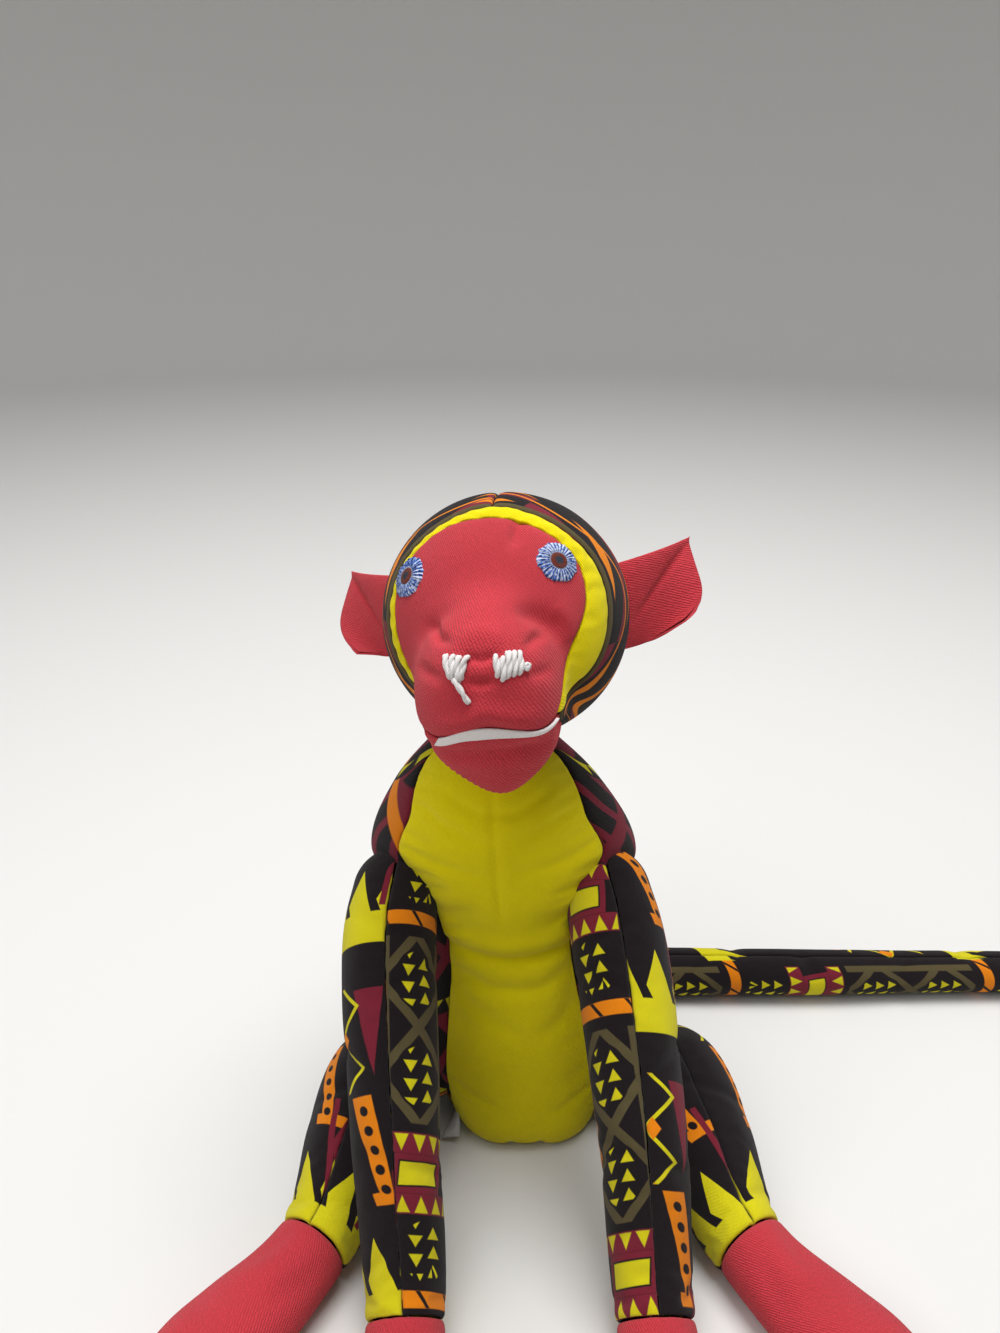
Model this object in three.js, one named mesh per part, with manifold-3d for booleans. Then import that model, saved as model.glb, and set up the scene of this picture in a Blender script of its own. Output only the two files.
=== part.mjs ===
// Sitting cloth monkey, sewn from printed, yellow and red cotton and filled with fibre.
// Sizes are millimetres and +Z is up. The origin is on the ground, in the middle of the seat.
// The toy faces -Y, so its own left side is +X. Each body part is one smooth form: sewn panels are
// patches of that form, thickened inwards, and the stuffing is the same form drawn in by the cloth.

import * as THREE from "three";
import { mergeVertices } from "three/addons/utils/BufferGeometryUtils.js";
import Module from "manifold-3d";

const wasm = await Module();
wasm.setup();

// Cloth and clearances
const CLOTH = 0.9;
const SEAM_GAP = 0.3;
const FILL_GAP = 0.3;
const JOINT_GAP = 0.6;
const GROUND_GAP = 0.2;

// Torso: half sizes at the seat, hips, waist, chest, shoulders and neck, and the rise from each to the next
const SEAT_HALF_WIDTH = 35;
const SEAT_HALF_DEPTH = 34;
const HIP_HALF_WIDTH = 47;
const HIP_HALF_DEPTH = 38;
const HIP_RISE = 28;
const WAIST_HALF_WIDTH = 41;
const WAIST_HALF_DEPTH = 31;
const WAIST_RISE = 64;
const CHEST_HALF_WIDTH = 51;
const CHEST_HALF_DEPTH = 32;
const CHEST_RISE = 28;
const SHOULDER_HALF_WIDTH = 42.5;
const SHOULDER_HALF_DEPTH = 30;
const SHOULDER_RISE = 27;
const NECK_RADIUS = 22;
const NECK_RISE = 26;
const TORSO_LEAN_DEG = -4.6;
const NECK_FOOT_DEG = -12;
const NECK_HOLE_DEG = 52;
const TAIL_END_OF_BELLY = 18;
const TAIL_END_HALF_WIDTH = 4;

// Head: half sizes of the skull, the muzzle that swells from it, and how the head is held
const HEAD_HALF_WIDTH = 41;
const HEAD_HALF_DEPTH = 42;
const HEAD_HALF_HEIGHT = 41;
const MUZZLE_LENGTH = 21;
const MUZZLE_DROP_DEG = 23;
const MUZZLE_SPREAD_DEG = 25;
const MUZZLE_RISE_DEG = 38;
const MUZZLE_FALL_DEG = 34;
const CHIN_LENGTH = 8;
const CHIN_DROP_DEG = 58;
const CHIN_SPREAD_DEG = 10;
const CHIN_RISE_DEG = 16;
const NECK_SINK = 16;
const HEAD_FORWARD = 11;
const HEAD_ASIDE = 4.9;
const HEAD_TURN_DEG = -6;
const HEAD_TILT_DEG = -5.5;
const HEAD_LIFT_DEG = 10;
const CORNER_OF_MOUTH_DEG = 136;
const FACE_SHORT_OF_LEFT_DEG = 6.2;
const FACE_PAST_RIGHT_DEG = 9;
const CORNER_GAP_DEG = 0.5;

// Face trimmings
const EYE_RADIUS = 6.8;
const EYE_THICKNESS = 0.9;
const EYE_EDGE_THICKNESS = 0.55;
const LEFT_EYE_OFF_AXIS_DEG = 45.5;
const RIGHT_EYE_OFF_AXIS_DEG = 51.5;
const LEFT_EYE_ROUND_DEG = 46;
const RIGHT_EYE_ROUND_DEG = 53;
const MOUTH_WIDTH = 4;
const MOUTH_POINT_WIDTH = 0.7;
const MOUTH_THICKNESS = 1.1;
const MOUTH_SHORT_OF_CORNER_DEG = 9;
const MOUTH_GAP = 0.5;
const YARN_RADIUS = 1.2;
const YARN_GAP = 0.35;
const YARN_OVERLAP = 0.35;
const YARN_STITCH = 6.5;
const YARN_STRANDS = 4;
const NOSTRIL_OFF_AXIS_DEG = 7.2;
const NOSTRIL_ROUND_DEG = 100;

// Ears
const EAR_LENGTH = 29;
const EAR_ROOT_HEIGHT = 32;
const EAR_OUTER_HEIGHT = 28;
const LEFT_EAR_UPTURN = 6.5;
const RIGHT_EAR_UPTURN = 0.5;
const EAR_ABOVE_MIDDLE = 0.5;
const EAR_CUP = 6;
const LEFT_EAR_SWEEP_DEG = 38;
const RIGHT_EAR_SWEEP_DEG = 48;
const EAR_SET_BACK_DEG = 6;
const EAR_LAYER = 1.3;
const EAR_SEAM_LAYER = 0.5;
const EAR_SEAM_DEPTH = 7;
const EAR_CREASE_ROOT = -0.35;
const EAR_CREASE_TIP = 0.9;
const EAR_CREASE_WIDTH = 0.17;
const EAR_LOBE_CUT = 7;
const EAR_TIP_CUT = 2.5;
const EAR_GAP = 0.8;

// Limbs: share of the root ball's radius that shows before the limb swells from it
const BALL_SHARE = 0.62;

// Arms
const ARM_ALONG_TORSO = 0.53;
const ARM_ROUND_DEG = 57;
const ARM_ROOT_RADIUS = 16;
const ARM_HEADING_OUT_DEG = 9;
const ARM_HEADING_DOWN_DEG = 30;
const ARM_SWELL_FROM_PIVOT = 26;
const ARM_RADIUS = 16.4;
const ELBOW_FORWARD = 3;
const ELBOW_UP = 2;
const WRIST_RADIUS = 13;
const HAND_HALF_WIDTH = 15;
const HAND_HALF_HEIGHT = 11;
const ARM_REACH = 97;
const WRIST_OUT = 0.2;
const HAND_LENGTH = 45;
const HAND_TIP = 22.5;

// Legs
const LEG_ALONG_TORSO = 0.16;
const LEG_ROUND_DEG = 70;
const LEG_ROOT_RADIUS = 16;
const LEG_HEADING_OUT_DEG = 58;
const LEG_SWELL_FROM_PIVOT = 21.5;
const THIGH_RADIUS = 22;
const THIGH_SAG = 2;
const CUFF_RADIUS = 13.5;
const FOOT_HALF_WIDTH = 17.5;
const FOOT_HALF_HEIGHT = 13.5;
const LEG_LENGTH = 83;
const FOOT_LENGTH = 75;
const FOOT_TIP = 31.5;
const LEG_SPLAY_DEG = 24;
const FOOT_SPLAY_DEG = 38;

// Tail
const TAIL_ALONG_TORSO = 0.085;
const TAIL_ROOT_RADIUS = 9;
const TAIL_HEADING_DEG = 45;
const TAIL_SWELL_FROM_PIVOT = 12.6;
const TAIL_RADIUS = 11;
const TAIL_TIP_RADIUS = 9;
const TAIL_LENGTH = 300;
const TAIL_BEND = 45;
const TAIL_STAND_OFF = 14;
const TAIL_DRIFT = 4;

// Label
const LABEL_WIDTH = 8;
const LABEL_LENGTH = 11;
const LABEL_THICKNESS = 0.5;
const LABEL_DROOP = 3.3;
const LABEL_GAP = 0.9;
const LABEL_ALONG_TORSO = 0.1;

// Finishes
const PRINT = { color: 0x3a2527, roughness: 0.85 };
const YELLOW = { color: 0xcdbb08, roughness: 0.85 };
const RED = { color: 0xbe4450, roughness: 0.85 };
const WHITE = { color: 0xe9e5e2, roughness: 0.9 };
const BLUE = { color: 0x7f93c9, roughness: 0.8 };
const FIBRE = { color: 0xf0ece2, roughness: 1 };

const { lerp, degToRad: radians, radToDeg: degrees } = THREE.MathUtils;
const fillDepth = CLOTH + FILL_GAP;
const vector = (x, y, z) => new THREE.Vector3(x, y, z);
const steps = (from, to, count) => Array.from({ length: count + 1 }, (_, i) => lerp(from, to, i / count));

// Value at t on a smooth curve through stations [t, value], level at its two ends
function smoothValue(stations, t) {
  const last = stations.length - 1;
  const at = THREE.MathUtils.clamp(t, stations[0][0], stations[last][0]);
  const i = Math.max(1, stations.findIndex(([station]) => station >= at));
  const slope = (k) =>
    k === 0 || k === last
      ? 0
      : (stations[k + 1][1] - stations[k - 1][1]) / (stations[k + 1][0] - stations[k - 1][0]);
  const [t0, v0] = stations[i - 1];
  const [t1, v1] = stations[i];
  const span = t1 - t0;
  const x = (at - t0) / span;
  const toEnd = x * x * (3 - 2 * x);
  const leave = x * (1 - x) * (1 - x) * span * slope(i - 1);
  const arrive = x * x * (x - 1) * span * slope(i);
  return v0 + (v1 - v0) * toEnd + leave + arrive;
}

// Closed geometry from corner points in threes: corners welded, empty triangles dropped, facing out
function closedGeometry(corners) {
  const welded = mergeVertices(new THREE.BufferGeometry().setFromPoints(corners), 1e-4);
  const position = welded.attributes.position;
  const kept = [];
  let volume = 0;
  for (let i = 0; i < welded.index.count; i += 3) {
    const [a, b, c] = [0, 1, 2].map((k) => welded.index.getX(i + k));
    if (a === b || b === c || c === a) continue;
    const [p, q, r] = [a, b, c].map((k) => vector(0, 0, 0).fromBufferAttribute(position, k));
    volume += p.dot(q.cross(r));
    kept.push(a, b, c);
  }
  welded.setIndex(volume < 0 ? kept.reverse() : kept);
  return welded;
}

// Corner points of the cells of a grid of points, row by row, split the same way on both faces of a panel
function addGrid(corners, grid, flip) {
  for (let i = 0; i + 1 < grid.length; i += 1) {
    for (let j = 0; j + 1 < grid[i].length; j += 1) {
      const [a, b, c, d] = [grid[i][j], grid[i][j + 1], grid[i + 1][j + 1], grid[i + 1][j]];
      corners.push(...(flip ? [a, c, b, a, d, c] : [a, b, c, a, c, d]));
    }
  }
}

// Panel of cloth: place(row, column, depth) gives its outside at depth 0 and its inside at its thickness.
// A panel that goes all the way round meets itself, and has no side edges.
function panel(place, rows, columns, { thickness = CLOTH, allRound = false } = {}) {
  const outer = rows.map((u) => columns.map((v) => place(u, v, 0)));
  const inner = rows.map((u) => columns.map((v) => place(u, v, thickness)));
  const corners = [];
  addGrid(corners, outer, false);
  addGrid(corners, inner, true);
  const lastRow = rows.length - 1;
  const lastColumn = columns.length - 1;
  addGrid(corners, [inner[0], outer[0]], false);
  addGrid(corners, [outer[lastRow], inner[lastRow]], false);
  if (allRound) return closedGeometry(corners);
  addGrid(corners, [outer.map((row) => row[0]), inner.map((row) => row[0])], false);
  addGrid(corners, [inner.map((row) => row[lastColumn]), outer.map((row) => row[lastColumn])], false);
  return closedGeometry(corners);
}

// Solid whose rows are closed rings, ending in a point at both ends
function ringSolid(place, rows, columns) {
  const corners = [];
  addGrid(corners, rows.map((u) => columns.map((v) => place(u, v))), false);
  return closedGeometry(corners);
}

function toSolid(geometry) {
  const vertProperties = Float32Array.from(geometry.attributes.position.array);
  const triVerts = Uint32Array.from(geometry.index.array);
  return new wasm.Manifold(new wasm.Mesh({ numProp: 3, vertProperties, triVerts }));
}

function toGeometry(solid) {
  const mesh = solid.getMesh();
  const geometry = new THREE.BufferGeometry();
  geometry.setAttribute("position", new THREE.BufferAttribute(mesh.vertProperties, 3));
  geometry.setIndex(new THREE.BufferAttribute(mesh.triVerts, 1));
  return geometry;
}

// Solid of one of the stock shapes, with its doubled corners and empty triangles taken out
function stockSolid(geometry) {
  const position = geometry.toNonIndexed().attributes.position;
  const corner = (_, i) => vector(0, 0, 0).fromBufferAttribute(position, i);
  return toSolid(closedGeometry(Array.from({ length: position.count }, corner)));
}

// Faceted ball whose flats, and not its corners, lie at the radius
function ballAt(centre, radius) {
  const [segments, rings] = [14, 9];
  const toCorner = radius / Math.cos(Math.PI / segments) / Math.cos(Math.PI / (2 * rings));
  const ball = new THREE.SphereGeometry(toCorner, segments, rings);
  return stockSolid(ball.translate(centre.x, centre.y, centre.z));
}

// Columns in the order that goes round the body from its right side to its left
const inTurn = (columns, side) => (side > 0 ? columns : [...columns].reverse());

function carve(geometry, cutters) {
  return toGeometry(cutters.reduce((solid, cutter) => solid.subtract(cutter), toSolid(geometry)));
}

function piece(name, geometry, finish) {
  const mesh = new THREE.Mesh(geometry, new THREE.MeshStandardMaterial({ metalness: 0, ...finish }));
  mesh.name = name;
  return mesh;
}

// Torso form: position 0 is the rim of the seat, 1 the foot of the round neck and 2 its top,
// and -1 is the middle of the seat. The angle goes round from the front to the toy's left.
const waistHeight = HIP_RISE + WAIST_RISE;
const chestHeight = waistHeight + CHEST_RISE;
const shoulderHeight = chestHeight + SHOULDER_RISE;
const neckHeight = shoulderHeight + NECK_RISE;
const leanSlope = Math.tan(radians(TORSO_LEAN_DEG));
const neckFoot = radians(NECK_FOOT_DEG);
const torsoProfile = new THREE.CatmullRomCurve3([
  vector(SEAT_HALF_WIDTH, SEAT_HALF_DEPTH, 0),
  vector(HIP_HALF_WIDTH, HIP_HALF_DEPTH, HIP_RISE),
  vector(WAIST_HALF_WIDTH, WAIST_HALF_DEPTH, waistHeight),
  vector(CHEST_HALF_WIDTH, CHEST_HALF_DEPTH, chestHeight),
  vector(SHOULDER_HALF_WIDTH, SHOULDER_HALF_DEPTH, shoulderHeight),
  vector(
    NECK_RADIUS * Math.cos(neckFoot),
    NECK_RADIUS * Math.cos(neckFoot),
    neckHeight + NECK_RADIUS * Math.sin(neckFoot),
  ),
]);

function torsoSection(along) {
  if (along <= 0) return vector(SEAT_HALF_WIDTH * (1 + along), SEAT_HALF_DEPTH * (1 + along), 0);
  if (along <= 1) return torsoProfile.getPoint(along);
  const rise = lerp(neckFoot, Math.PI / 2, along - 1);
  const round = NECK_RADIUS * Math.cos(rise);
  return vector(round, round, neckHeight + NECK_RADIUS * Math.sin(rise));
}

// The torso leans up to the middle of the neck, which is a true ball from there on
const leanAt = (height) => leanSlope * Math.min(height, neckHeight);

function torsoPoint(along, angle) {
  const { x: halfWidth, y: halfDepth, z: height } = torsoSection(along);
  return vector(leanAt(height) + halfWidth * Math.sin(angle), -halfDepth * Math.cos(angle), height);
}

// Outward direction of a form at two parameters, from its slopes along both
function outward(point, u, v, step = 1e-3) {
  const alongU = point(u + step, v).sub(point(u - step, v));
  const alongV = point(u, v + step).sub(point(u, v - step));
  return alongV.cross(alongU).normalize();
}

function torsoInside(along, angle, depth) {
  const atPole = along <= -1 || along >= 2;
  const normal = atPole ? vector(0, 0, Math.sign(along)) : outward(torsoPoint, along, angle);
  return torsoPoint(along, angle).addScaledVector(normal, -depth);
}

// Half angle of the yellow front at each position up the torso
const bellyHalfAngle = (along) =>
  radians(
    smoothValue(
      [[0, 47], [0.2, 40], [0.4, 35], [0.53, 35], [0.7, 52], [0.8, 53], [1, 75], [2, 75]],
      along,
    ),
  );

const seamAngle = (along) => SEAM_GAP / 2 / torsoSection(along).x;

// The yellow front runs under the seat and narrows towards the tail
function bellyPlace(along, across, depth) {
  const rim = Math.max(along, 0);
  const angle = across * (bellyHalfAngle(rim) - seamAngle(rim));
  if (along >= 0) return torsoInside(along, angle, depth);
  const tailEnd = vector(across * TAIL_END_HALF_WIDTH, TAIL_END_OF_BELLY, 0);
  return torsoPoint(0, angle).lerp(tailEnd, -along).setZ(depth);
}

const FRONT_COLUMNS = steps(-1, 1, 6);
const BACK_COLUMNS = steps(0, 1, 6);

// One printed half of the back: across 0 is its seam with the front and 1 the seam down the back
function backPlace(side) {
  return (along, across, depth) => {
    const rim = Math.max(along, 0);
    const angle = lerp(bellyHalfAngle(rim) + seamAngle(rim), Math.PI, across);
    const place = torsoInside(rim, angle, depth);
    if (along < 0) {
      const start = torsoPoint(0, bellyHalfAngle(0) + seamAngle(0));
      const tailEnd = vector(TAIL_END_HALF_WIDTH + SEAM_GAP, TAIL_END_OF_BELLY, 0);
      const beside = Math.min(across / BACK_COLUMNS[BACK_COLUMNS.length - 2], 1);
      const edge = across < 1 ? start.lerp(tailEnd, beside) : vector(0, TAIL_END_OF_BELLY + SEAM_GAP, 0);
      if (across > 0) place.lerp(edge, -along).setZ(depth);
    }
    const middle = leanAt(place.z);
    const offMiddle = Math.max(place.x - middle, SEAM_GAP / 2);
    return vector(middle + side * offMiddle, place.y, place.z);
  };
}

// Limb form: a ball round its pivot, then a tube along a path whose half width and half height
// follow stations measured along the path, closed by a round tip
function limbForm({ points, sideways, rootRadius, widths, heights, tipLength }) {
  const path = new THREE.CatmullRomCurve3(points);
  path.arcLengthDivisions = 400;
  const length = path.getLength();
  const ballEnd = BALL_SHARE * rootRadius;
  const ballRadius = (along) => Math.sqrt(Math.max(rootRadius ** 2 - along ** 2, 0));
  const stationsFrom = (stations) => [[ballEnd, ballRadius(ballEnd)], ...stations];
  const widthStations = stationsFrom(widths);
  const heightStations = stationsFrom(heights);
  const tip = (along) => Math.sqrt(Math.max(1 - Math.max((along - length) / tipLength + 1, 0) ** 2, 0));

  function point(along, angle) {
    const share = THREE.MathUtils.clamp(along / length, 0, 1);
    const forward = path.getTangentAt(share);
    const centre = path.getPointAt(share).addScaledVector(forward, Math.min(along, 0));
    const across = sideways.clone().addScaledVector(forward, -sideways.dot(forward)).normalize();
    const over = across.clone().cross(forward);
    const onBall = along < ballEnd;
    const halfWidth = onBall ? ballRadius(along) : smoothValue(widthStations, along) * tip(along);
    const halfHeight = onBall ? ballRadius(along) : smoothValue(heightStations, along) * tip(along);
    return centre
      .addScaledVector(across, halfWidth * Math.sin(angle))
      .addScaledVector(over, halfHeight * Math.cos(angle));
  }

  function inside(along, angle, depth) {
    const atPole = along <= -rootRadius || along >= length;
    const endwards = path.getTangentAt(along > 0 ? 1 : 0).multiplyScalar(Math.sign(along));
    const normal = atPole ? endwards : outward(point, along, angle);
    const place = point(along, angle).addScaledVector(normal, -depth);
    return place.setZ(Math.max(place.z, GROUND_GAP + depth));
  }

  return { length, rootRadius, tipLength, inside, halfWidth: (along) => smoothValue(widthStations, along) };
}

const ROOT_ROWS = [-BALL_SHARE, -0.3, 0, 0.34, BALL_SHARE];
const STUFFING_ROOT_ROWS = [-1, -0.9];
const ROW_PAST_ROOT = 4;

// Two sewn halves, the end in another cloth, and the stuffing of one limb
function limbPieces(name, form, cuff, { halves, end, counts }) {
  const rootRows = ROOT_ROWS.map((share) => share * form.rootRadius);
  const [sleeveRows, endRows, sides] = counts;
  const flare = BALL_SHARE * form.rootRadius + ROW_PAST_ROOT;
  const roundTip = steps(0, Math.PI / 2, endRows).map((turn) => Math.sin(turn));
  const tipStart = form.length - form.tipLength;
  const tipRows = roundTip.map((share) => lerp(tipStart, form.length - SEAM_GAP / 2, share));
  const sleeve = end
    ? [...rootRows, ...steps(flare, cuff - SEAM_GAP / 2, sleeveRows)]
    : [...rootRows, ...steps(flare, tipStart, sleeveRows), ...tipRows.slice(1)];
  const group = new THREE.Group();
  halves.forEach((half, k) => {
    const place = (along, share, depth) => {
      const gap = SEAM_GAP / 2 / form.halfWidth(along);
      const angle = lerp(k * Math.PI + gap, (k + 1) * Math.PI - gap, share);
      return form.inside(along, angle, depth);
    };
    group.add(piece(`${name}_${half}`, panel(place, sleeve, steps(0, 1, sides)), PRINT));
  });
  if (end) {
    const cupRows = roundTip.map((share) => lerp(cuff + SEAM_GAP / 2, form.length, share));
    const cup = panel(form.inside, cupRows, steps(0, 2 * Math.PI, 2 * sides), { allRound: true });
    group.add(piece(end, cup, RED));
  }
  const fillPlace = (along, angle) => form.inside(along, angle, fillDepth);
  const fillRows = [
    ...STUFFING_ROOT_ROWS.map((share) => share * form.rootRadius),
    ...sleeve,
    ...(end ? roundTip.slice(1).map((share) => lerp(cuff, form.length, share)) : [form.length]),
  ];
  const fill = ringSolid(fillPlace, fillRows, steps(0, 2 * Math.PI, 2 * sides));
  group.add(piece(`${name}_stuffing`, fill, FIBRE));
  return group;
}

const mirrored = (point, side) => vector(side * point.x, point.y, point.z);
const leaned = (point) => point.setX(point.x + leanAt(point.z));

// Pivot on the torso's surface without its lean, so that both sides share it
function torsoPivot(along, angleDeg) {
  const pivot = torsoPoint(along, radians(angleDeg));
  return pivot.setX(pivot.x - leanAt(pivot.z));
}

const armPivot = torsoPivot(ARM_ALONG_TORSO, ARM_ROUND_DEG);
const legPivot = torsoPivot(LEG_ALONG_TORSO, LEG_ROUND_DEG);
const tailPivot = torsoPivot(TAIL_ALONG_TORSO, 180);

// Direction level with the ground, turned outwards from straight ahead
function ahead(outDeg) {
  return vector(Math.sin(radians(outDeg)), -Math.cos(radians(outDeg)), 0);
}

const armHeading = ahead(ARM_HEADING_OUT_DEG)
  .multiplyScalar(Math.cos(radians(ARM_HEADING_DOWN_DEG)))
  .setZ(-Math.sin(radians(ARM_HEADING_DOWN_DEG)));

function armForm(side) {
  const wristHeight = WRIST_RADIUS + GROUND_GAP;
  const wrist = vector(armPivot.x + WRIST_OUT, armPivot.y - ARM_REACH, wristHeight);
  const knuckle = armPivot.clone().addScaledVector(armHeading, ARM_ROOT_RADIUS);
  const elbow = knuckle.clone().lerp(wrist, 0.5).add(vector(0, -ELBOW_FORWARD, ELBOW_UP));
  const tip = wrist.clone().add(vector(0, -HAND_LENGTH, HAND_HALF_HEIGHT - WRIST_RADIUS));
  const points = [armPivot, knuckle, elbow, wrist, tip].map((point) => leaned(mirrored(point, side)));
  const length = new THREE.CatmullRomCurve3(points).getLength();
  const cuff = length - HAND_LENGTH;
  const sleeve = [[ARM_SWELL_FROM_PIVOT, ARM_RADIUS], [cuff, WRIST_RADIUS]];
  const palm = length - HAND_TIP;
  const form = limbForm({
    points,
    sideways: vector(1, 0, 0),
    rootRadius: ARM_ROOT_RADIUS,
    widths: [...sleeve, [palm, HAND_HALF_WIDTH]],
    heights: [...sleeve, [palm, HAND_HALF_HEIGHT]],
    tipLength: HAND_TIP,
  });
  return { form, cuff };
}

function legForm(side) {
  const root = legPivot.clone().addScaledVector(ahead(LEG_HEADING_OUT_DEG), LEG_ROOT_RADIUS);
  const ankle = legPivot.clone().addScaledVector(ahead(LEG_SPLAY_DEG), LEG_LENGTH);
  ankle.setZ(CUFF_RADIUS + GROUND_GAP);
  const thigh = root.clone().lerp(ankle, 0.45);
  thigh.setZ(THIGH_RADIUS - THIGH_SAG);
  const toe = ankle.clone().addScaledVector(ahead(FOOT_SPLAY_DEG), FOOT_LENGTH).setZ(FOOT_HALF_HEIGHT);
  const points = [legPivot, root, thigh, ankle, toe].map((point) => mirrored(point, side));
  const length = new THREE.CatmullRomCurve3(points).getLength();
  const cuff = length - FOOT_LENGTH;
  const sleeve = [[LEG_SWELL_FROM_PIVOT, THIGH_RADIUS], [cuff, CUFF_RADIUS]];
  const ball = length - FOOT_TIP;
  const form = limbForm({
    points,
    sideways: vector(Math.cos(radians(LEG_SPLAY_DEG)), side * Math.sin(radians(LEG_SPLAY_DEG)), 0),
    rootRadius: LEG_ROOT_RADIUS,
    widths: [...sleeve, [ball, FOOT_HALF_WIDTH]],
    heights: [...sleeve, [ball, FOOT_HALF_HEIGHT]],
    tipLength: FOOT_TIP,
  });
  return { form, cuff };
}

function tailForm() {
  const root = tailPivot.clone().addScaledVector(ahead(180 - TAIL_HEADING_DEG), TAIL_ROOT_RADIUS);
  const lie = TAIL_RADIUS + GROUND_GAP;
  const behind = tailPivot.y + TAIL_STAND_OFF;
  const points = [
    tailPivot,
    root,
    vector(TAIL_BEND, behind, lie),
    vector(lerp(TAIL_BEND, TAIL_LENGTH, 0.4), behind + TAIL_DRIFT / 4, lie),
    vector(TAIL_LENGTH, behind + TAIL_DRIFT, TAIL_TIP_RADIUS + GROUND_GAP),
  ];
  const length = new THREE.CatmullRomCurve3(points).getLength();
  const sizes = [[TAIL_SWELL_FROM_PIVOT, TAIL_RADIUS], [length, TAIL_TIP_RADIUS]];
  return limbForm({
    points,
    sideways: vector(0, 1, 0),
    rootRadius: TAIL_ROOT_RADIUS,
    widths: sizes,
    heights: sizes,
    tipLength: 2 * TAIL_TIP_RADIUS,
  });
}

// Torso pieces, with a round seat cut in them for each limb
function torsoPieces() {
  const seatFor = (pivot, radius) => ballAt(pivot, radius + JOINT_GAP);
  const sockets = [1, -1].flatMap((side) => [
    seatFor(leaned(mirrored(armPivot, side)), ARM_ROOT_RADIUS),
    seatFor(mirrored(legPivot, side), LEG_ROOT_RADIUS),
  ]);
  sockets.push(seatFor(tailPivot, TAIL_ROOT_RADIUS));
  const neckEdge = 1 + (radians(NECK_HOLE_DEG) - neckFoot) / (Math.PI / 2 - neckFoot);
  const upRows = [...steps(0, 1, 10), 1.3, neckEdge];
  const belly = panel(bellyPlace, [-1, -0.5, ...upRows], FRONT_COLUMNS);
  const fillPlace = (along, column) => {
    const front = bellyHalfAngle(Math.max(along, 0));
    const past = Math.max(Math.abs(column) - 1, 0);
    const angle = past > 0 ? Math.sign(column) * lerp(front, Math.PI, past) : column * front;
    const place = torsoInside(along, angle, fillDepth);
    return place.setZ(Math.max(place.z, fillDepth));
  };
  const leftColumns = BACK_COLUMNS.map((across) => 1 + across);
  const rightColumns = BACK_COLUMNS.map((across) => across - 2);
  const fill = ringSolid(
    fillPlace,
    [-1, ...upRows, 2],
    [...rightColumns, ...FRONT_COLUMNS.slice(1, -1), ...leftColumns],
  );
  const group = new THREE.Group();
  group.add(piece("belly_panel", carve(belly, sockets), YELLOW));
  for (const [name, side] of [["back_panel_left", 1], ["back_panel_right", -1]]) {
    const back = panel(backPlace(side), [-1, ...upRows], inTurn(BACK_COLUMNS, side));
    group.add(piece(name, carve(back, sockets), PRINT));
  }
  group.add(piece("torso_stuffing", carve(fill, sockets), FIBRE));
  return group;
}

// Label caught in the seam beside the belly, standing out and drooping
function labelPiece() {
  const place = (out, across, depth) => {
    const angle = -bellyHalfAngle(LABEL_ALONG_TORSO);
    const seam = torsoPoint(LABEL_ALONG_TORSO, angle);
    const away = outward(torsoPoint, LABEL_ALONG_TORSO, angle).setZ(0).normalize();
    const beside = vector(-away.y, away.x, 0);
    const droop = LABEL_DROOP * out * out;
    return seam
      .addScaledVector(away, LABEL_GAP + LABEL_LENGTH * out)
      .addScaledVector(beside, depth - LABEL_THICKNESS / 2)
      .add(vector(0, 0, across * LABEL_WIDTH - LABEL_WIDTH / 2 - droop));
  };
  return piece("sewn_label", panel(place, steps(0, 1, 4), [0, 1], { thickness: LABEL_THICKNESS }), WHITE);
}

// Head form round its own centre: a skull with a broad muzzle swelling from its lower front, and a chin.
// A direction is given by its angle off the face axis and its angle round it from the top.
function headReach(direction) {
  const { x, y, z } = direction;
  const skull = 1 / Math.hypot(x / HEAD_HALF_WIDTH, y / HEAD_HALF_DEPTH, z / HEAD_HALF_HEIGHT);
  const aside = Math.atan2(x, Math.hypot(y, z)) / radians(MUZZLE_SPREAD_DEG);
  const rise = Math.atan2(z, -y) + radians(MUZZLE_DROP_DEG);
  const above = rise / radians(rise > 0 ? MUZZLE_RISE_DEG : MUZZLE_FALL_DEG);
  const muzzle = MUZZLE_LENGTH * Math.exp(-((aside * aside + above * above) ** 2));
  const chinAside = Math.atan2(x, Math.hypot(y, z)) / radians(CHIN_SPREAD_DEG);
  const chinAbove = (Math.atan2(z, -y) + radians(CHIN_DROP_DEG)) / radians(CHIN_RISE_DEG);
  return skull + muzzle + CHIN_LENGTH * Math.exp(-(chinAside * chinAside) - chinAbove * chinAbove);
}

function headDirection(offAxisDeg, roundDeg) {
  const off = radians(offAxisDeg);
  const round = radians(roundDeg);
  return vector(Math.sin(off) * Math.sin(round), -Math.cos(off), Math.sin(off) * Math.cos(round));
}

function headOutward(point) {
  const beyond = (p) => p.length() - headReach(p.clone().normalize());
  const step = 0.05;
  const shifted = (axis, by) => beyond(point.clone().addScaledVector(axis, by));
  const slope = (axis) => shifted(axis, step) - shifted(axis, -step);
  return vector(slope(vector(1, 0, 0)), slope(vector(0, 1, 0)), slope(vector(0, 0, 1))).normalize();
}

function headInside(direction, depth) {
  const point = direction.clone().multiplyScalar(headReach(direction));
  return point.addScaledVector(headOutward(point), -depth);
}

// Edges of the face panels, as angles off the face axis for each angle round it
const evenFaceEdge = (round) =>
  smoothValue(
    [
      [0, 62], [25, 63], [47, 61], [66, 54], [90, 44.8], [114, 40.5],
      [CORNER_OF_MOUTH_DEG, 31], [158, 21.5], [180, 18],
    ],
    Math.abs(round),
  );
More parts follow.
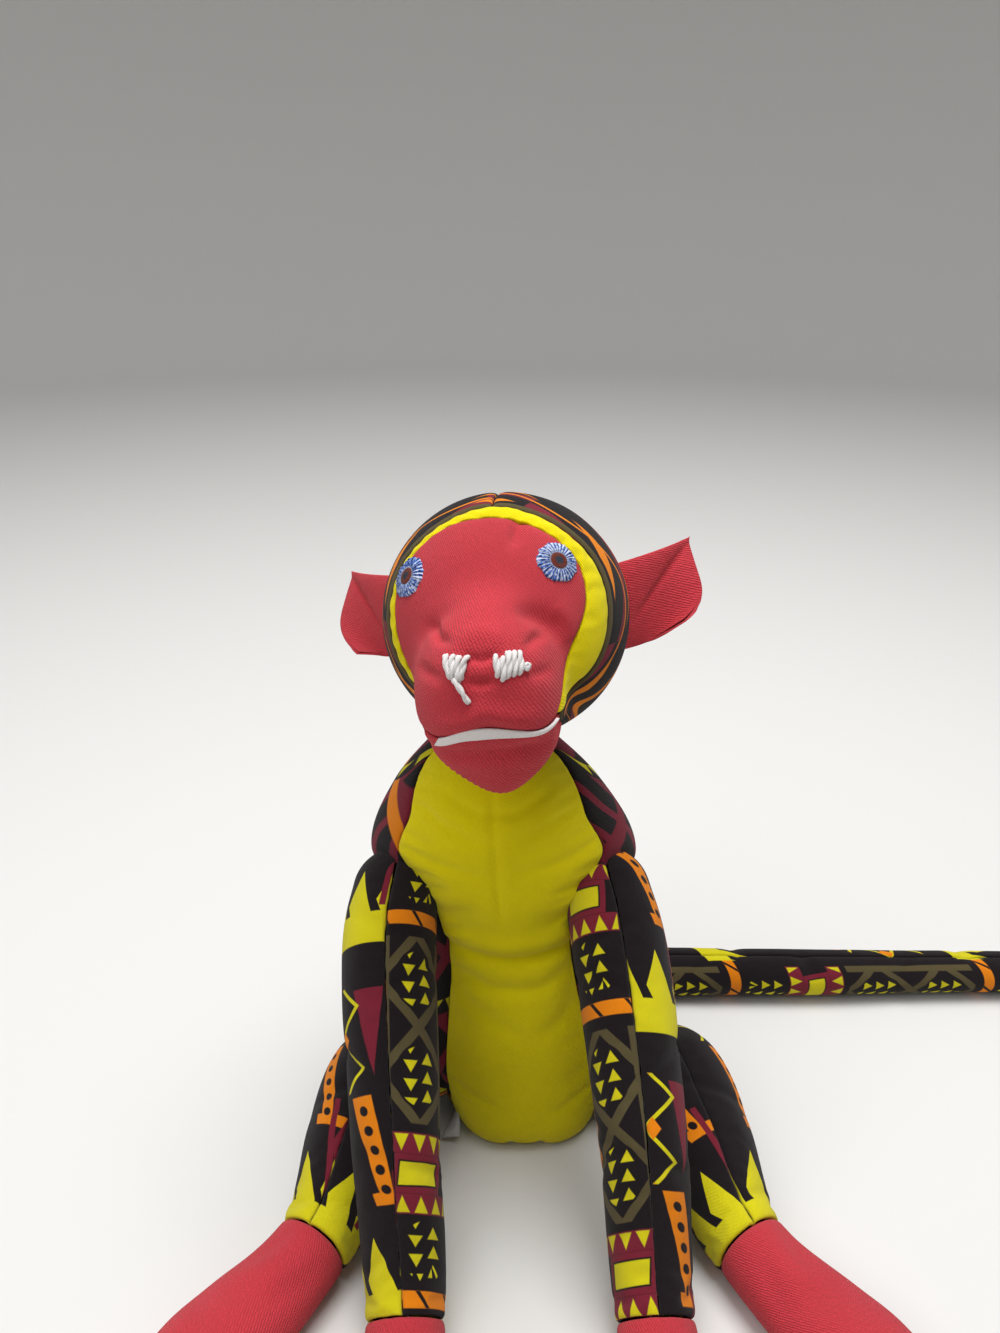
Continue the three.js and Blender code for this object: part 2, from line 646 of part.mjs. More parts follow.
// The face is sewn off centre, towards the toy's right, less so near the mouth
function faceEdge(round) {
  const nearMouth = Math.min(Math.abs(round) / CORNER_OF_MOUTH_DEG, 1) ** 4;
  const offCentre = round > 0 ? FACE_SHORT_OF_LEFT_DEG : FACE_PAST_RIGHT_DEG;
  return evenFaceEdge(round) - offCentre * Math.sin(radians(round)) * (1 - 0.8 * nearMouth);
}
const borderWidth = (round) =>
  smoothValue(
    [[0, 12], [25, 10], [47, 11], [66, 14], [90, 22.2], [114, 19.5], [CORNER_OF_MOUTH_DEG, 3]],
    Math.abs(round),
  );
const chinEdge = (round) =>
  smoothValue([[CORNER_OF_MOUTH_DEG, 34.5], [152, 58], [180, 76]], Math.abs(round));
const hoodEdge = (round) =>
  Math.abs(round) <= CORNER_OF_MOUTH_DEG ? evenFaceEdge(round) + borderWidth(round) : chinEdge(round);
const seamDeg = degrees(SEAM_GAP / HEAD_HALF_DEPTH);

const head = new THREE.Group();
const neckCentre = vector(leanAt(neckHeight), 0, neckHeight);
head.position.set(
  neckCentre.x + HEAD_ASIDE,
  neckCentre.y - HEAD_FORWARD,
  neckHeight + NECK_RADIUS + HEAD_HALF_HEIGHT - NECK_SINK,
);
head.rotation.set(radians(-HEAD_LIFT_DEG), radians(HEAD_TILT_DEG), radians(HEAD_TURN_DEG), "YZX");
head.updateMatrixWorld(true);

function headPieces() {
  const neckSeat = [ballAt(head.worldToLocal(neckCentre.clone()), NECK_RADIUS + JOINT_GAP)];
  const corner = CORNER_OF_MOUTH_DEG;
  const face = (share, round, depth) => {
    const off = share * (faceEdge(round) - seamDeg / 2);
    return headInside(headDirection(off, round), depth);
  };
  const border = (share, round, depth) => {
    const inner = faceEdge(round) + seamDeg / 2;
    return headInside(headDirection(lerp(inner, hoodEdge(round) - seamDeg / 2, share), round), depth);
  };
  const chin = (share, round, depth) => {
    const lip = faceEdge(round) + seamDeg / 2;
    return headInside(headDirection(lerp(lip, chinEdge(round) - seamDeg / 2, share), round), depth);
  };
  const hood = (side) => (share, round, depth) => {
    const place = headInside(headDirection(lerp(hoodEdge(round) + seamDeg / 2, 180, share), round), depth);
    return vector(side * Math.max(place.x, SEAM_GAP / 2), place.y, place.z);
  };
  const cheekRound = [...steps(0, 115, 5), 127, corner - CORNER_GAP_DEG];
  const jawRound = [corner + CORNER_GAP_DEG, 147, 162, 180];
  const sideRound = [...cheekRound, ...jawRound];
  const backAgain = (list) => list.slice(0, -1).reverse().map((round) => 360 - round);
  const wholeRound = [...sideRound, ...backAgain(sideRound)];
  const roundFace = (round) => (round > 180 ? round - 360 : round);
  const facePlace = (share, round, depth) => face(share, roundFace(round), depth);
  head.add(piece("face_panel", panel(facePlace, steps(0, 1, 5), wholeRound, { allRound: true }), RED));
  const borderRound = [...cheekRound.slice(1).reverse().map((round) => -round), ...cheekRound];
  head.add(piece("face_border", panel(border, steps(0, 1, 4), borderRound), YELLOW));
  const chinRound = [...jawRound, ...backAgain(jawRound)];
  const chinPlace = (share, round, depth) => chin(share, roundFace(round), depth);
  const chinPanel = panel(chinPlace, steps(0, 1, 4), chinRound);
  head.add(piece("chin_panel", carve(chinPanel, neckSeat), RED));
  for (const [name, side] of [["hood_left", 1], ["hood_right", -1]]) {
    const half = panel(hood(side), steps(0, 1, 7), inTurn(sideRound, side));
    head.add(piece(name, carve(half, neckSeat), PRINT));
  }
  const fillPlace = (row, round) => {
    const turned = roundFace(round);
    const edges = [0, faceEdge(turned), hoodEdge(turned), 180];
    const band = Math.min(Math.floor(row), 2);
    return headInside(headDirection(lerp(edges[band], edges[band + 1], row - band), turned), fillDepth);
  };
  const fill = ringSolid(fillPlace, [...steps(0, 1, 5), ...steps(1, 2, 4), ...steps(2, 3, 7)], wholeRound);
  head.add(piece("head_stuffing", carve(fill, neckSeat), FIBRE));
}

// Embroidered eye: a low round pad on the face
function eyePiece(name, side) {
  const offAxis = side > 0 ? LEFT_EYE_OFF_AXIS_DEG : RIGHT_EYE_OFF_AXIS_DEG;
  const round = side > 0 ? LEFT_EYE_ROUND_DEG : RIGHT_EYE_ROUND_DEG;
  const middle = headDirection(offAxis, side * round);
  const across = vector(0, 0, 1).cross(middle).normalize();
  const over = middle.clone().cross(across);
  const reach = headReach(middle);
  const place = (share, angle, depth) => {
    const direction = middle
      .clone()
      .addScaledVector(across, (share * EYE_RADIUS * Math.cos(angle)) / reach)
      .addScaledVector(over, (share * EYE_RADIUS * Math.sin(angle)) / reach)
      .normalize();
    const crown = lerp(EYE_THICKNESS, EYE_EDGE_THICKNESS, share * share);
    return headInside(direction, depth === 0 ? -SEAM_GAP - crown : -SEAM_GAP);
  };
  return piece(name, panel(place, steps(0, 1, 2), steps(0, 2 * Math.PI, 12), { allRound: true }), BLUE);
}

// Felt strip along the line of the mouth, blunt at the toy's right end and pointed at its left
function mouthPiece() {
  const from = CORNER_OF_MOUTH_DEG;
  const to = 360 - from - MOUTH_SHORT_OF_CORNER_DEG;
  const place = (round, share, depth) => {
    const turned = round > 180 ? round - 360 : round;
    const along = (round - from) / (to - from);
    const width = lerp(MOUTH_POINT_WIDTH, MOUTH_WIDTH, Math.sqrt(along));
    const edge = faceEdge(turned);
    const reach = headReach(headDirection(edge, turned));
    const off = edge + degrees(((share - 0.5) * width) / reach);
    return headInside(headDirection(off, turned), depth - MOUTH_GAP - MOUTH_THICKNESS);
  };
  const strip = panel(place, steps(from, to, 12), steps(0, 1, 2), { thickness: MOUTH_THICKNESS });
  return piece("mouth_strip", strip, WHITE);
}

// Yarn nostril: a few stitches side by side over the cloth
function nostrilPiece(name, side) {
  const pitch = 2 * YARN_RADIUS - YARN_OVERLAP;
  const middle = headDirection(NOSTRIL_OFF_AXIS_DEG, side * NOSTRIL_ROUND_DEG);
  const strands = Array.from({ length: YARN_STRANDS }, (_, k) => {
    const offset = vector((k - (YARN_STRANDS - 1) / 2) * pitch, 0, 0);
    const direction = middle.clone().addScaledVector(offset, 1 / headReach(middle)).normalize();
    const seat = headInside(direction, -(YARN_RADIUS + YARN_GAP));
    const out = headOutward(seat);
    const strand = new THREE.CapsuleGeometry(YARN_RADIUS, YARN_STITCH, 2, 7);
    const up = vector(0, 0, 1).addScaledVector(out, -out.z).normalize();
    strand.applyQuaternion(new THREE.Quaternion().setFromUnitVectors(vector(0, 1, 0), up));
    strand.translate(seat.x, seat.y, seat.z);
    return stockSolid(strand);
  });
  return piece(name, toGeometry(strands.reduce((all, strand) => all.add(strand))), WHITE);
}

// Ear: two layers of cloth in a cupped leaf, upturned at its outer end and creased from root to tip
function earLayer(name, side, layer) {
  const sweep = radians(side > 0 ? LEFT_EAR_SWEEP_DEG : RIGHT_EAR_SWEEP_DEG);
  const upturn = side > 0 ? LEFT_EAR_UPTURN : RIGHT_EAR_UPTURN;
  const out = vector(Math.cos(sweep), Math.sin(sweep), 0);
  const front = vector(Math.sin(sweep), -Math.cos(sweep), 0);
  const place = (along, across, depth) => {
    const height = (across * EAR_ROOT_HEIGHT) / 2;
    const setBack = HEAD_HALF_WIDTH * Math.sin(radians(EAR_SET_BACK_DEG));
    const rootDirection = vector(HEAD_HALF_WIDTH, setBack, height + EAR_ABOVE_MIDDLE).normalize();
    const cut = across < 0 ? EAR_LOBE_CUT : EAR_TIP_CUT;
    const length = EAR_LENGTH - cut * across * across;
    const outerHeight = upturn + (across * EAR_OUTER_HEIGHT) / 2;
    const fromCrease = across - lerp(EAR_CREASE_ROOT, EAR_CREASE_TIP, along);
    const cup = EAR_CUP * (Math.hypot(fromCrease, EAR_CREASE_WIDTH) - EAR_CREASE_WIDTH) * along;
    const seamed = Math.min((along * EAR_LENGTH) / EAR_SEAM_DEPTH, 1);
    const thickness = lerp(EAR_SEAM_LAYER, EAR_LAYER, seamed);
    const face = layer * (SEAM_GAP / 2 + (depth > 0 ? 0 : thickness));
    const point = headInside(rootDirection, -EAR_GAP)
      .addScaledVector(out, length * along)
      .add(vector(0, 0, (outerHeight - height) * along))
      .addScaledVector(front, cup + face);
    return mirrored(point, side);
  };
  return piece(name, panel(place, steps(0, 1, 5), steps(-1, 1, 6), { thickness: EAR_LAYER }), RED);
}

headPieces();
for (const [sideName, side] of [["left", 1], ["right", -1]]) {
  head.add(eyePiece(`eye_${sideName}`, side));
  head.add(nostrilPiece(`nostril_${sideName}`, side));
  head.add(earLayer(`ear_${sideName}_front`, side, 1));
  head.add(earLayer(`ear_${sideName}_back`, side, -1));
}
head.add(mouthPiece());

const monkey = new THREE.Group();
monkey.add(torsoPieces(), labelPiece(), head);
for (const [sideName, side] of [["left", 1], ["right", -1]]) {
  const halves = side > 0 ? ["outer", "inner"] : ["inner", "outer"];
  const arm = armForm(side);
  monkey.add(
    limbPieces(`arm_${sideName}`, arm.form, arm.cuff, {
      halves,
      end: `hand_${sideName}`,
      counts: [6, 4, 4],
    }),
  );
  const leg = legForm(side);
  monkey.add(
    limbPieces(`leg_${sideName}`, leg.form, leg.cuff, {
      halves,
      end: `foot_${sideName}`,
      counts: [5, 5, 4],
    }),
  );
}
const tail = tailForm();
monkey.add(
  limbPieces("tail", tail, tail.length, {
    halves: ["rear", "front"],
    end: null,
    counts: [8, 3, 3],
  }),
);

export default monkey;
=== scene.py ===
"""Cloth monkey: sewn panels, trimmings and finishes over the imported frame, with floor, light and camera.

Shape formulas are in millimetres, in the frame's own axes: +Z up, the toy faces -Y and its left side is +X.
Meshes are written in metres, at the origin.
"""

import logging
from dataclasses import dataclass, field
from enum import Enum
from functools import reduce
from math import atan2, cos, hypot, pi, radians, sin, sqrt, tan
from typing import Callable, Optional, Sequence, TypeVar, Union

import bpy
import numpy as np
from bpy.types import NodeSocket, Object
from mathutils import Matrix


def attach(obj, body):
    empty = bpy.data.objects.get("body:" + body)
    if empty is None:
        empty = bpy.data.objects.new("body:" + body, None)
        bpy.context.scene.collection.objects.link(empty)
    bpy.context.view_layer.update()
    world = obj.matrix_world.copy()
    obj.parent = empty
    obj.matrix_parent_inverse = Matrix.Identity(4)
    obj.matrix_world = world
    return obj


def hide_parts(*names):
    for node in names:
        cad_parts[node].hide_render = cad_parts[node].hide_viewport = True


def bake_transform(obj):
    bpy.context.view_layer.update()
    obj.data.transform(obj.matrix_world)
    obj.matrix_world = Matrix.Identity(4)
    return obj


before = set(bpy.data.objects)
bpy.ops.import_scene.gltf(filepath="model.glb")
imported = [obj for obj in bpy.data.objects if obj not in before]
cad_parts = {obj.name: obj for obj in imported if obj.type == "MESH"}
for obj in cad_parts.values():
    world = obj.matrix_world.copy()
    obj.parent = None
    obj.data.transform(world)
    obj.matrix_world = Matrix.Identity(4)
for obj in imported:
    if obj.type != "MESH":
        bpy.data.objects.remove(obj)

Array = np.ndarray
Colour = tuple[int, int, int]
Pair = tuple[float, float]
Triple = tuple[float, float, float]
Stations = Sequence[Pair]
log = logging.getLogger("monkey")

MM = 0.001
TAU = 2 * pi


# Numbers and curves


def vec(x: float, y: float, z: float) -> Array:
    """A point or direction as a float array."""
    return np.array([x, y, z], float)


def unit(v: Array) -> Array:
    """Vectors along the last axis, each divided by its length."""
    return v / np.maximum(np.linalg.norm(v, axis=-1, keepdims=True), 1e-12)


def run_along(points: Array, axis: int = 0) -> Array:
    """Length along a line or over a grid of points, from 0 at its first point, row or column."""
    steps = np.diff(points, axis=axis, prepend=np.take(points, [0], axis))
    return np.cumsum(np.linalg.norm(steps, axis=-1), axis=axis)


def facing(points: Array) -> Array:
    """Directions through a grid of points: its slopes down the rows crossed with those over the columns."""
    return np.cross(np.gradient(points, axis=0), np.gradient(points, axis=1))


def faces_away(points: Array, core: Array) -> bool:
    """Whether a grid's own directions look away from points inside it."""
    return bool(((points - core) * facing(points)).sum() > 0)


def smooth_step(x: Array) -> Array:
    """0 below 0, 1 above 1, and the cubic 3x^2 - 2x^3 between."""
    t = np.clip(x, 0, 1)
    return t * t * (3 - 2 * t)


def smooth_value(stations: Stations, t: Array) -> Array:
    """Value at t on a smooth curve through stations, level at its two ends.

    Between stations it is a cubic. Its slope at an inner station is that of the chord between the neighbours.

    Args:
        stations: Pairs of place and value, in rising order of place.
        t: Places to read.

    Returns:
        The values, in the shape of t.
    """
    at_knot, value = np.array(stations, float).T
    slope = np.zeros(len(at_knot))
    slope[1:-1] = (value[2:] - value[:-2]) / (at_knot[2:] - at_knot[:-2])
    at = np.clip(t, at_knot[0], at_knot[-1])
    i = np.clip(np.searchsorted(at_knot, at), 1, len(at_knot) - 1)
    span = at_knot[i] - at_knot[i - 1]
    x = (at - at_knot[i - 1]) / span
    step = (value[i] - value[i - 1]) * x * x * (3 - 2 * x)
    bend = slope[i - 1] * x * (1 - x) ** 2 + slope[i] * x * x * (x - 1)
    return value[i - 1] + step + span * bend


class SoftCurve:
    """Centripetal curve through points, read by its parameter or by its length."""

    def __init__(self, points: Sequence[Array]) -> None:
        """Keeps the points, adds one beyond each end and measures the length."""
        p = np.array(points, float)
        self.knots = np.vstack([2 * p[0] - p[1], p, 2 * p[-1] - p[-2]])
        self.spans = len(p) - 1
        self.table = np.linspace(0, 1, 801)
        self.run = run_along(self.at(self.table))
        self.length = float(self.run[-1])

    def at(self, t: Array) -> Array:
        """Points at parameters t: cubic spans, whose end slopes weigh chords by the root of their length.

        Args:
            t: Parameters from 0 to 1, an equal share for each span.

        Returns:
            Points, with one more axis than t.
        """
        scaled = np.clip(t, 0, 1) * self.spans
        i = np.minimum(scaled.astype(int), self.spans - 1)
        w = (scaled - i)[..., None]
        a, b, c, d = (self.knots[i + k] for k in range(4))
        chords = (b - a, c - b, d - c)
        gap0, gap1, gap2 = (np.linalg.norm(chord, axis=-1, keepdims=True) ** 0.5 for chord in chords)
        leave = ((b - a) / gap0 - (c - a) / (gap0 + gap1) + (c - b) / gap1) * gap1
        arrive = ((c - b) / gap1 - (d - b) / (gap1 + gap2) + (d - c) / gap2) * gap1
        cubic = (2 * b - 2 * c + leave + arrive) * w + (-3 * b + 3 * c - 2 * leave - arrive)
        return (cubic * w + leave) * w + b

    def along(self, distance: Array) -> Array:
        """Points at distances along the curve, clipped to its ends."""
        return self.at(np.interp(distance, self.run, self.table))

    def heading(self, distance: Array) -> Array:
        """Unit directions of the curve at distances along it."""
        step = self.length * 1e-3
        return unit(self.along(distance + step) - self.along(distance - step))


def turn_about(axis: int, angle: float) -> Array:
    """Matrix that turns points about one axis."""
    i, j = (axis + 1) % 3, (axis + 2) % 3
    matrix = np.eye(3)
    matrix[[i, j], [i, j]] = cos(angle)
    matrix[[j, i], [i, j]] = sin(angle), -sin(angle)
    return matrix


def lattice(rows: Array, columns: Array) -> tuple[Array, Array]:
    """Two arrays that hold each row's and each column's parameter over their grid."""
    return tuple(np.meshgrid(rows, columns, indexing="ij"))


def waves(seed: int, places: Array, scale: float, count: int = 5) -> Array:
    """Gentle seeded unevenness: a sum of sine waves of mixed directions over points, about -1 to 1.

    Args:
        seed: Chooses directions and phases.
        places: Points, the last axis holding coordinates.
        scale: Length of the longest wave, in the points' unit.
        count: How many waves.

    Returns:
        One value for each point.
    """
    rng = np.random.default_rng(seed)
    order = np.arange(count)
    turns = unit(rng.normal(size=(count, places.shape[-1]))) * (TAU / scale * (1 + 0.5 * order))[:, None]
    phases = rng.uniform(0, TAU, count)
    weights = 1 / (1 + order)
    return (np.sin(places @ turns.T + phases) * weights).sum(-1) / weights.sum()


# Finishes


def linear(red: int, green: int, blue: int) -> tuple[float, float, float, float]:
    """A colour seen as 0 to 255 values, as light values for a shader."""
    share = np.array([red, green, blue]) / 255
    light = np.where(share <= 0.04045, share / 12.92, ((share + 0.055) / 1.055) ** 2.4)
    return (*light.tolist(), 1.0)


class Weave(Enum):
    """How a cloth is made, which sets its ribs."""

    TWILL = "twill"
    PLAIN = "plain"
    FELT = "felt"
    THREAD = "thread"
    STITCHES = "stitches"


class Layout(Enum):
    """Which part of the print a panel is cut from, by the name of the method that draws it."""

    COLUMNS = "columns"
    RINGS = "rings"
    TRELLIS = "trellis"


@dataclass(frozen=True)
class Finish:
    """One cloth: colour, weave, rib spacing and relief in millimetres, and the layout if it is printed."""

    name: str
    slot: str
    colour: Colour
    weave: Weave
    pitch: float
    relief: float
    layout: Optional[Layout] = None


GROUND = (28, 21, 24)
ORANGE = (240, 138, 14)
MAROON = (126, 34, 52)
OLIVE = (92, 82, 54)
PRINT_YELLOW = (222, 212, 24)

RED_TWILL = Finish("red twill", "red_twill", (203, 60, 70), Weave.TWILL, 0.8, 0.4)
YELLOW_TWILL = Finish("yellow twill", "yellow_twill", (236, 220, 0), Weave.TWILL, 0.75, 0.22)
PRINTED_LIMB, PRINTED_HOOD, PRINTED_BACK = (
    Finish(f"printed cotton {layout.value}", "printed_cotton", GROUND, Weave.PLAIN, 0.6, 0.2, layout)
    for layout in (Layout.COLUMNS, Layout.RINGS, Layout.TRELLIS)
)
WHITE_FELT = Finish("white felt", "white_felt", (238, 234, 232), Weave.FELT, 0.9, 0.3)
WHITE_YARN = Finish("white yarn", "white_yarn", (240, 237, 235), Weave.THREAD, 0.5, 0.2)
WHITE_RIBBON = Finish("white ribbon", "white_ribbon", (230, 230, 228), Weave.PLAIN, 0.5, 0.2)
EYE_THREAD = Finish("eye thread", "eye_thread", (70, 110, 196), Weave.STITCHES, 0.9, 0.4)


class Reading:
    """One number over a surface, held as a socket. Arithmetic on it adds Math nodes."""

    def __init__(self, tree: bpy.types.NodeTree, socket: NodeSocket) -> None:
        """Keeps the tree and the socket that gives the number."""
        self.tree = tree
        self.socket = socket

    def op(self, name: str, *others: "Number", clamp: bool = False) -> "Reading":
        """Adds a Math node that works on this number and others.

        Args:
            name: The node's operation.
            others: Numbers or readings for its other sockets.
            clamp: Whether the result is kept from 0 to 1.

        Returns:
            The node's result.
        """
        node = self.tree.nodes.new("ShaderNodeMath")
        node.operation = name
        node.use_clamp = clamp
        for socket, value in zip(node.inputs, (self, *others)):
            if isinstance(value, Reading):
                self.tree.links.new(value.socket, socket)
            else:
                socket.default_value = value
        return Reading(self.tree, node.outputs[0])

    def __add__(self, other: "Number") -> "Reading":
        """Sum."""
        return self.op("ADD", other)

    def __sub__(self, other: "Number") -> "Reading":
        """Difference."""
        return self.op("SUBTRACT", other)

    def __mul__(self, other: "Number") -> "Reading":
        """Product."""
        return self.op("MULTIPLY", other)

    def __neg__(self) -> "Reading":
        """The number with its sign turned."""
        return self.op("MULTIPLY", -1.0)

    def __abs__(self) -> "Reading":
        """Size without sign."""
        return self.op("ABSOLUTE")

    def least(self, *others: "Number") -> "Reading":
        """Smallest of this and others."""
        return reduce(lambda result, other: result.op("MINIMUM", other), others, self)

    def most(self, other: "Number") -> "Reading":
        """The larger of this and another."""
        return self.op("MAXIMUM", other)

    def folded(self, period: float) -> "Reading":
        """Distance from the nearest multiple of a period, with its sign."""
        return (self + period / 2).op("FLOORED_MODULO", period) - period / 2

    def sine(self, period: float) -> "Reading":
        """A sine wave of that period, from -1 to 1."""
        return (self * (TAU / period)).op("SINE")

    def mask(self, soft: float = 0.3) -> "Reading":
        """1 where the number is above 0, 0 below, with an edge that soft."""
        return self.op("MULTIPLY_ADD", 1 / soft, 0.5, clamp=True)


Number = Union[Reading, float]
Motif = list[tuple[Reading, Colour]]


class ClothShader:
    """Builds one finish's node material on a piece's own cloth coordinates."""

    SURFACE = {"Roughness": 0.88, "Specular IOR Level": 0.12, "Sheen Weight": 0.08, "Sheen Roughness": 0.5}

    def __init__(self, finish: Finish) -> None:
        """Starts a material with a cloth-like Principled shader."""
        self.finish = finish
        self.material = bpy.data.materials.new(finish.name)
        self.material.use_nodes = True
        self.tree = self.material.node_tree
        self.shader = self.tree.nodes["Principled BSDF"]
        for name, value in self.SURFACE.items():
            self.shader.inputs[name].default_value = value

    def coordinates(self) -> tuple[Reading, Reading]:
        """Cloth coordinates across and along a piece, in millimetres."""
        uv = self.tree.nodes.new("ShaderNodeUVMap")
        uv.uv_map = "cloth"
        parts = self.tree.nodes.new("ShaderNodeSeparateXYZ")
        self.tree.links.new(uv.outputs[0], parts.inputs[0])
        return Reading(self.tree, parts.outputs[0]) * 1000.0, Reading(self.tree, parts.outputs[1]) * 1000.0

    def noise(self, per_mm: float, detail: float = 3.0) -> Reading:
        """Noise through space, 0 to 1, with that many features in a millimetre."""
        place = self.tree.nodes.new("ShaderNodeTexCoord")
        node = self.tree.nodes.new("ShaderNodeTexNoise")
        node.inputs["Scale"].default_value = per_mm * 1000
        node.inputs["Detail"].default_value = detail
        self.tree.links.new(place.outputs["Object"], node.inputs["Vector"])
        return Reading(self.tree, node.outputs["Fac"])

    def mixed(self, under: object, over: object, share: Reading, blend: str = "MIX") -> NodeSocket:
        """One colour laid over another.

        Args:
            under: Colour or colour socket below.
            over: Colour or colour socket laid on it.
            share: Where the upper one shows.
            blend: How they combine.

        Returns:
            The resulting colour socket.
        """
        node = self.tree.nodes.new("ShaderNodeMix")
        node.data_type = "RGBA"
        node.blend_type = blend
        node.clamp_result = True
        self.tree.links.new(share.socket, node.inputs[0])
        for socket, value in ((node.inputs[6], under), (node.inputs[7], over)):
            if isinstance(value, NodeSocket):
                self.tree.links.new(value, socket)
            else:
                socket.default_value = value
        return node.outputs[2]

    def relief(self, height: Reading, depth_mm: float) -> None:
        """Raises the surface by a height from 0 to 1 times a depth."""
        bump = self.tree.nodes.new("ShaderNodeBump")
        bump.inputs["Strength"].default_value = 1.0
        bump.inputs["Distance"].default_value = depth_mm * MM
        self.tree.links.new(height.socket, bump.inputs["Height"])
        self.tree.links.new(bump.outputs[0], self.shader.inputs["Normal"])

    def ribs(self, across: Reading, along: Reading) -> Reading:
        """Height of the weave from 0 to 1: slanting ribs for twill, crossing threads for plain cloth."""
        pitch = self.finish.pitch
        uneven = self.noise(0.9) * (1.2 * pitch)
        if self.finish.weave is Weave.TWILL:
            rib = (across * 0.86 + along * 0.5 + uneven).sine(pitch)
            cut = (along * 0.86 - across * 0.5 + uneven).sine(pitch * 0.8)
            return rib * 0.36 + cut * 0.14 + 0.5
        if self.finish.weave is Weave.PLAIN:
            return (across + uneven).sine(pitch) * (along + uneven).sine(pitch) * 0.5 + 0.5
        if self.finish.weave is Weave.THREAD:
            return (across + along * 0.55 + uneven).sine(pitch) * 0.4 + 0.5
        if self.finish.weave is Weave.STITCHES:
            return (across + uneven).sine(pitch) * 0.4 + 0.5
        return self.noise(1.6, 6.0)

    def finished(self) -> bpy.types.Material:
        """Lays colour, random darker tone with painted shade in the weave's grooves, and the weave's relief,
        and returns the material.
        """
        across, along = self.coordinates()
        weave = self.ribs(across, along)
        colour: object = linear(*self.finish.colour)
        if self.finish.layout is not None:
            colour = CottonPrint(self, across, along).painted(colour, self.finish.layout)
        if self.finish.weave is Weave.STITCHES:
            colour = self.embroidered(across, along)
        # Painted shade: the colour darkens in the weave's grooves, together with random darker tone from
        # noise.
        shade_and_tone = weave * 0.35 + self.noise(0.05) * 0.5 + self.noise(1.4) * 0.4
        shade_and_tone_tint = (0.62, 0.6, 0.6, 1.0)
        colour = self.mixed(colour, shade_and_tone_tint, (-shade_and_tone + 1.05).op("MULTIPLY", 0.9, clamp=True), "MULTIPLY")
        self.tree.links.new(colour, self.shader.inputs["Base Color"])
        self.relief(weave * 0.75 + self.noise(3.0, 2.0) * 0.25, self.finish.relief)
        return self.material

    def embroidered(self, across: Reading, along: Reading) -> NodeSocket:
        """Rings of an embroidered eye: dark middle, rust ring, then blue, navy and white threads.

        Args:
            across: Length round the rim at full radius.
            along: Distance from the middle.

        Returns:
            The colour.
        """
        thread = across.sine(self.finish.pitch * 1.6) * 0.36 + self.noise(1.1, 2.0) * 2.2 - 1.1
        colour: object = linear(70, 108, 188)
        for tint, where, soft in (
            ((206, 216, 238), thread - 0.06, 0.3),
            ((20, 26, 66), -thread - 0.42, 0.2),
            ((170, 190, 226), -along + 3.1, 0.3),
            ((126, 54, 40), -along + 2.7, 0.3),
            ((60, 70, 88), -along + 1.2, 0.3),
        ):
            colour = self.mixed(colour, linear(*tint), where.mask(soft))
        return colour


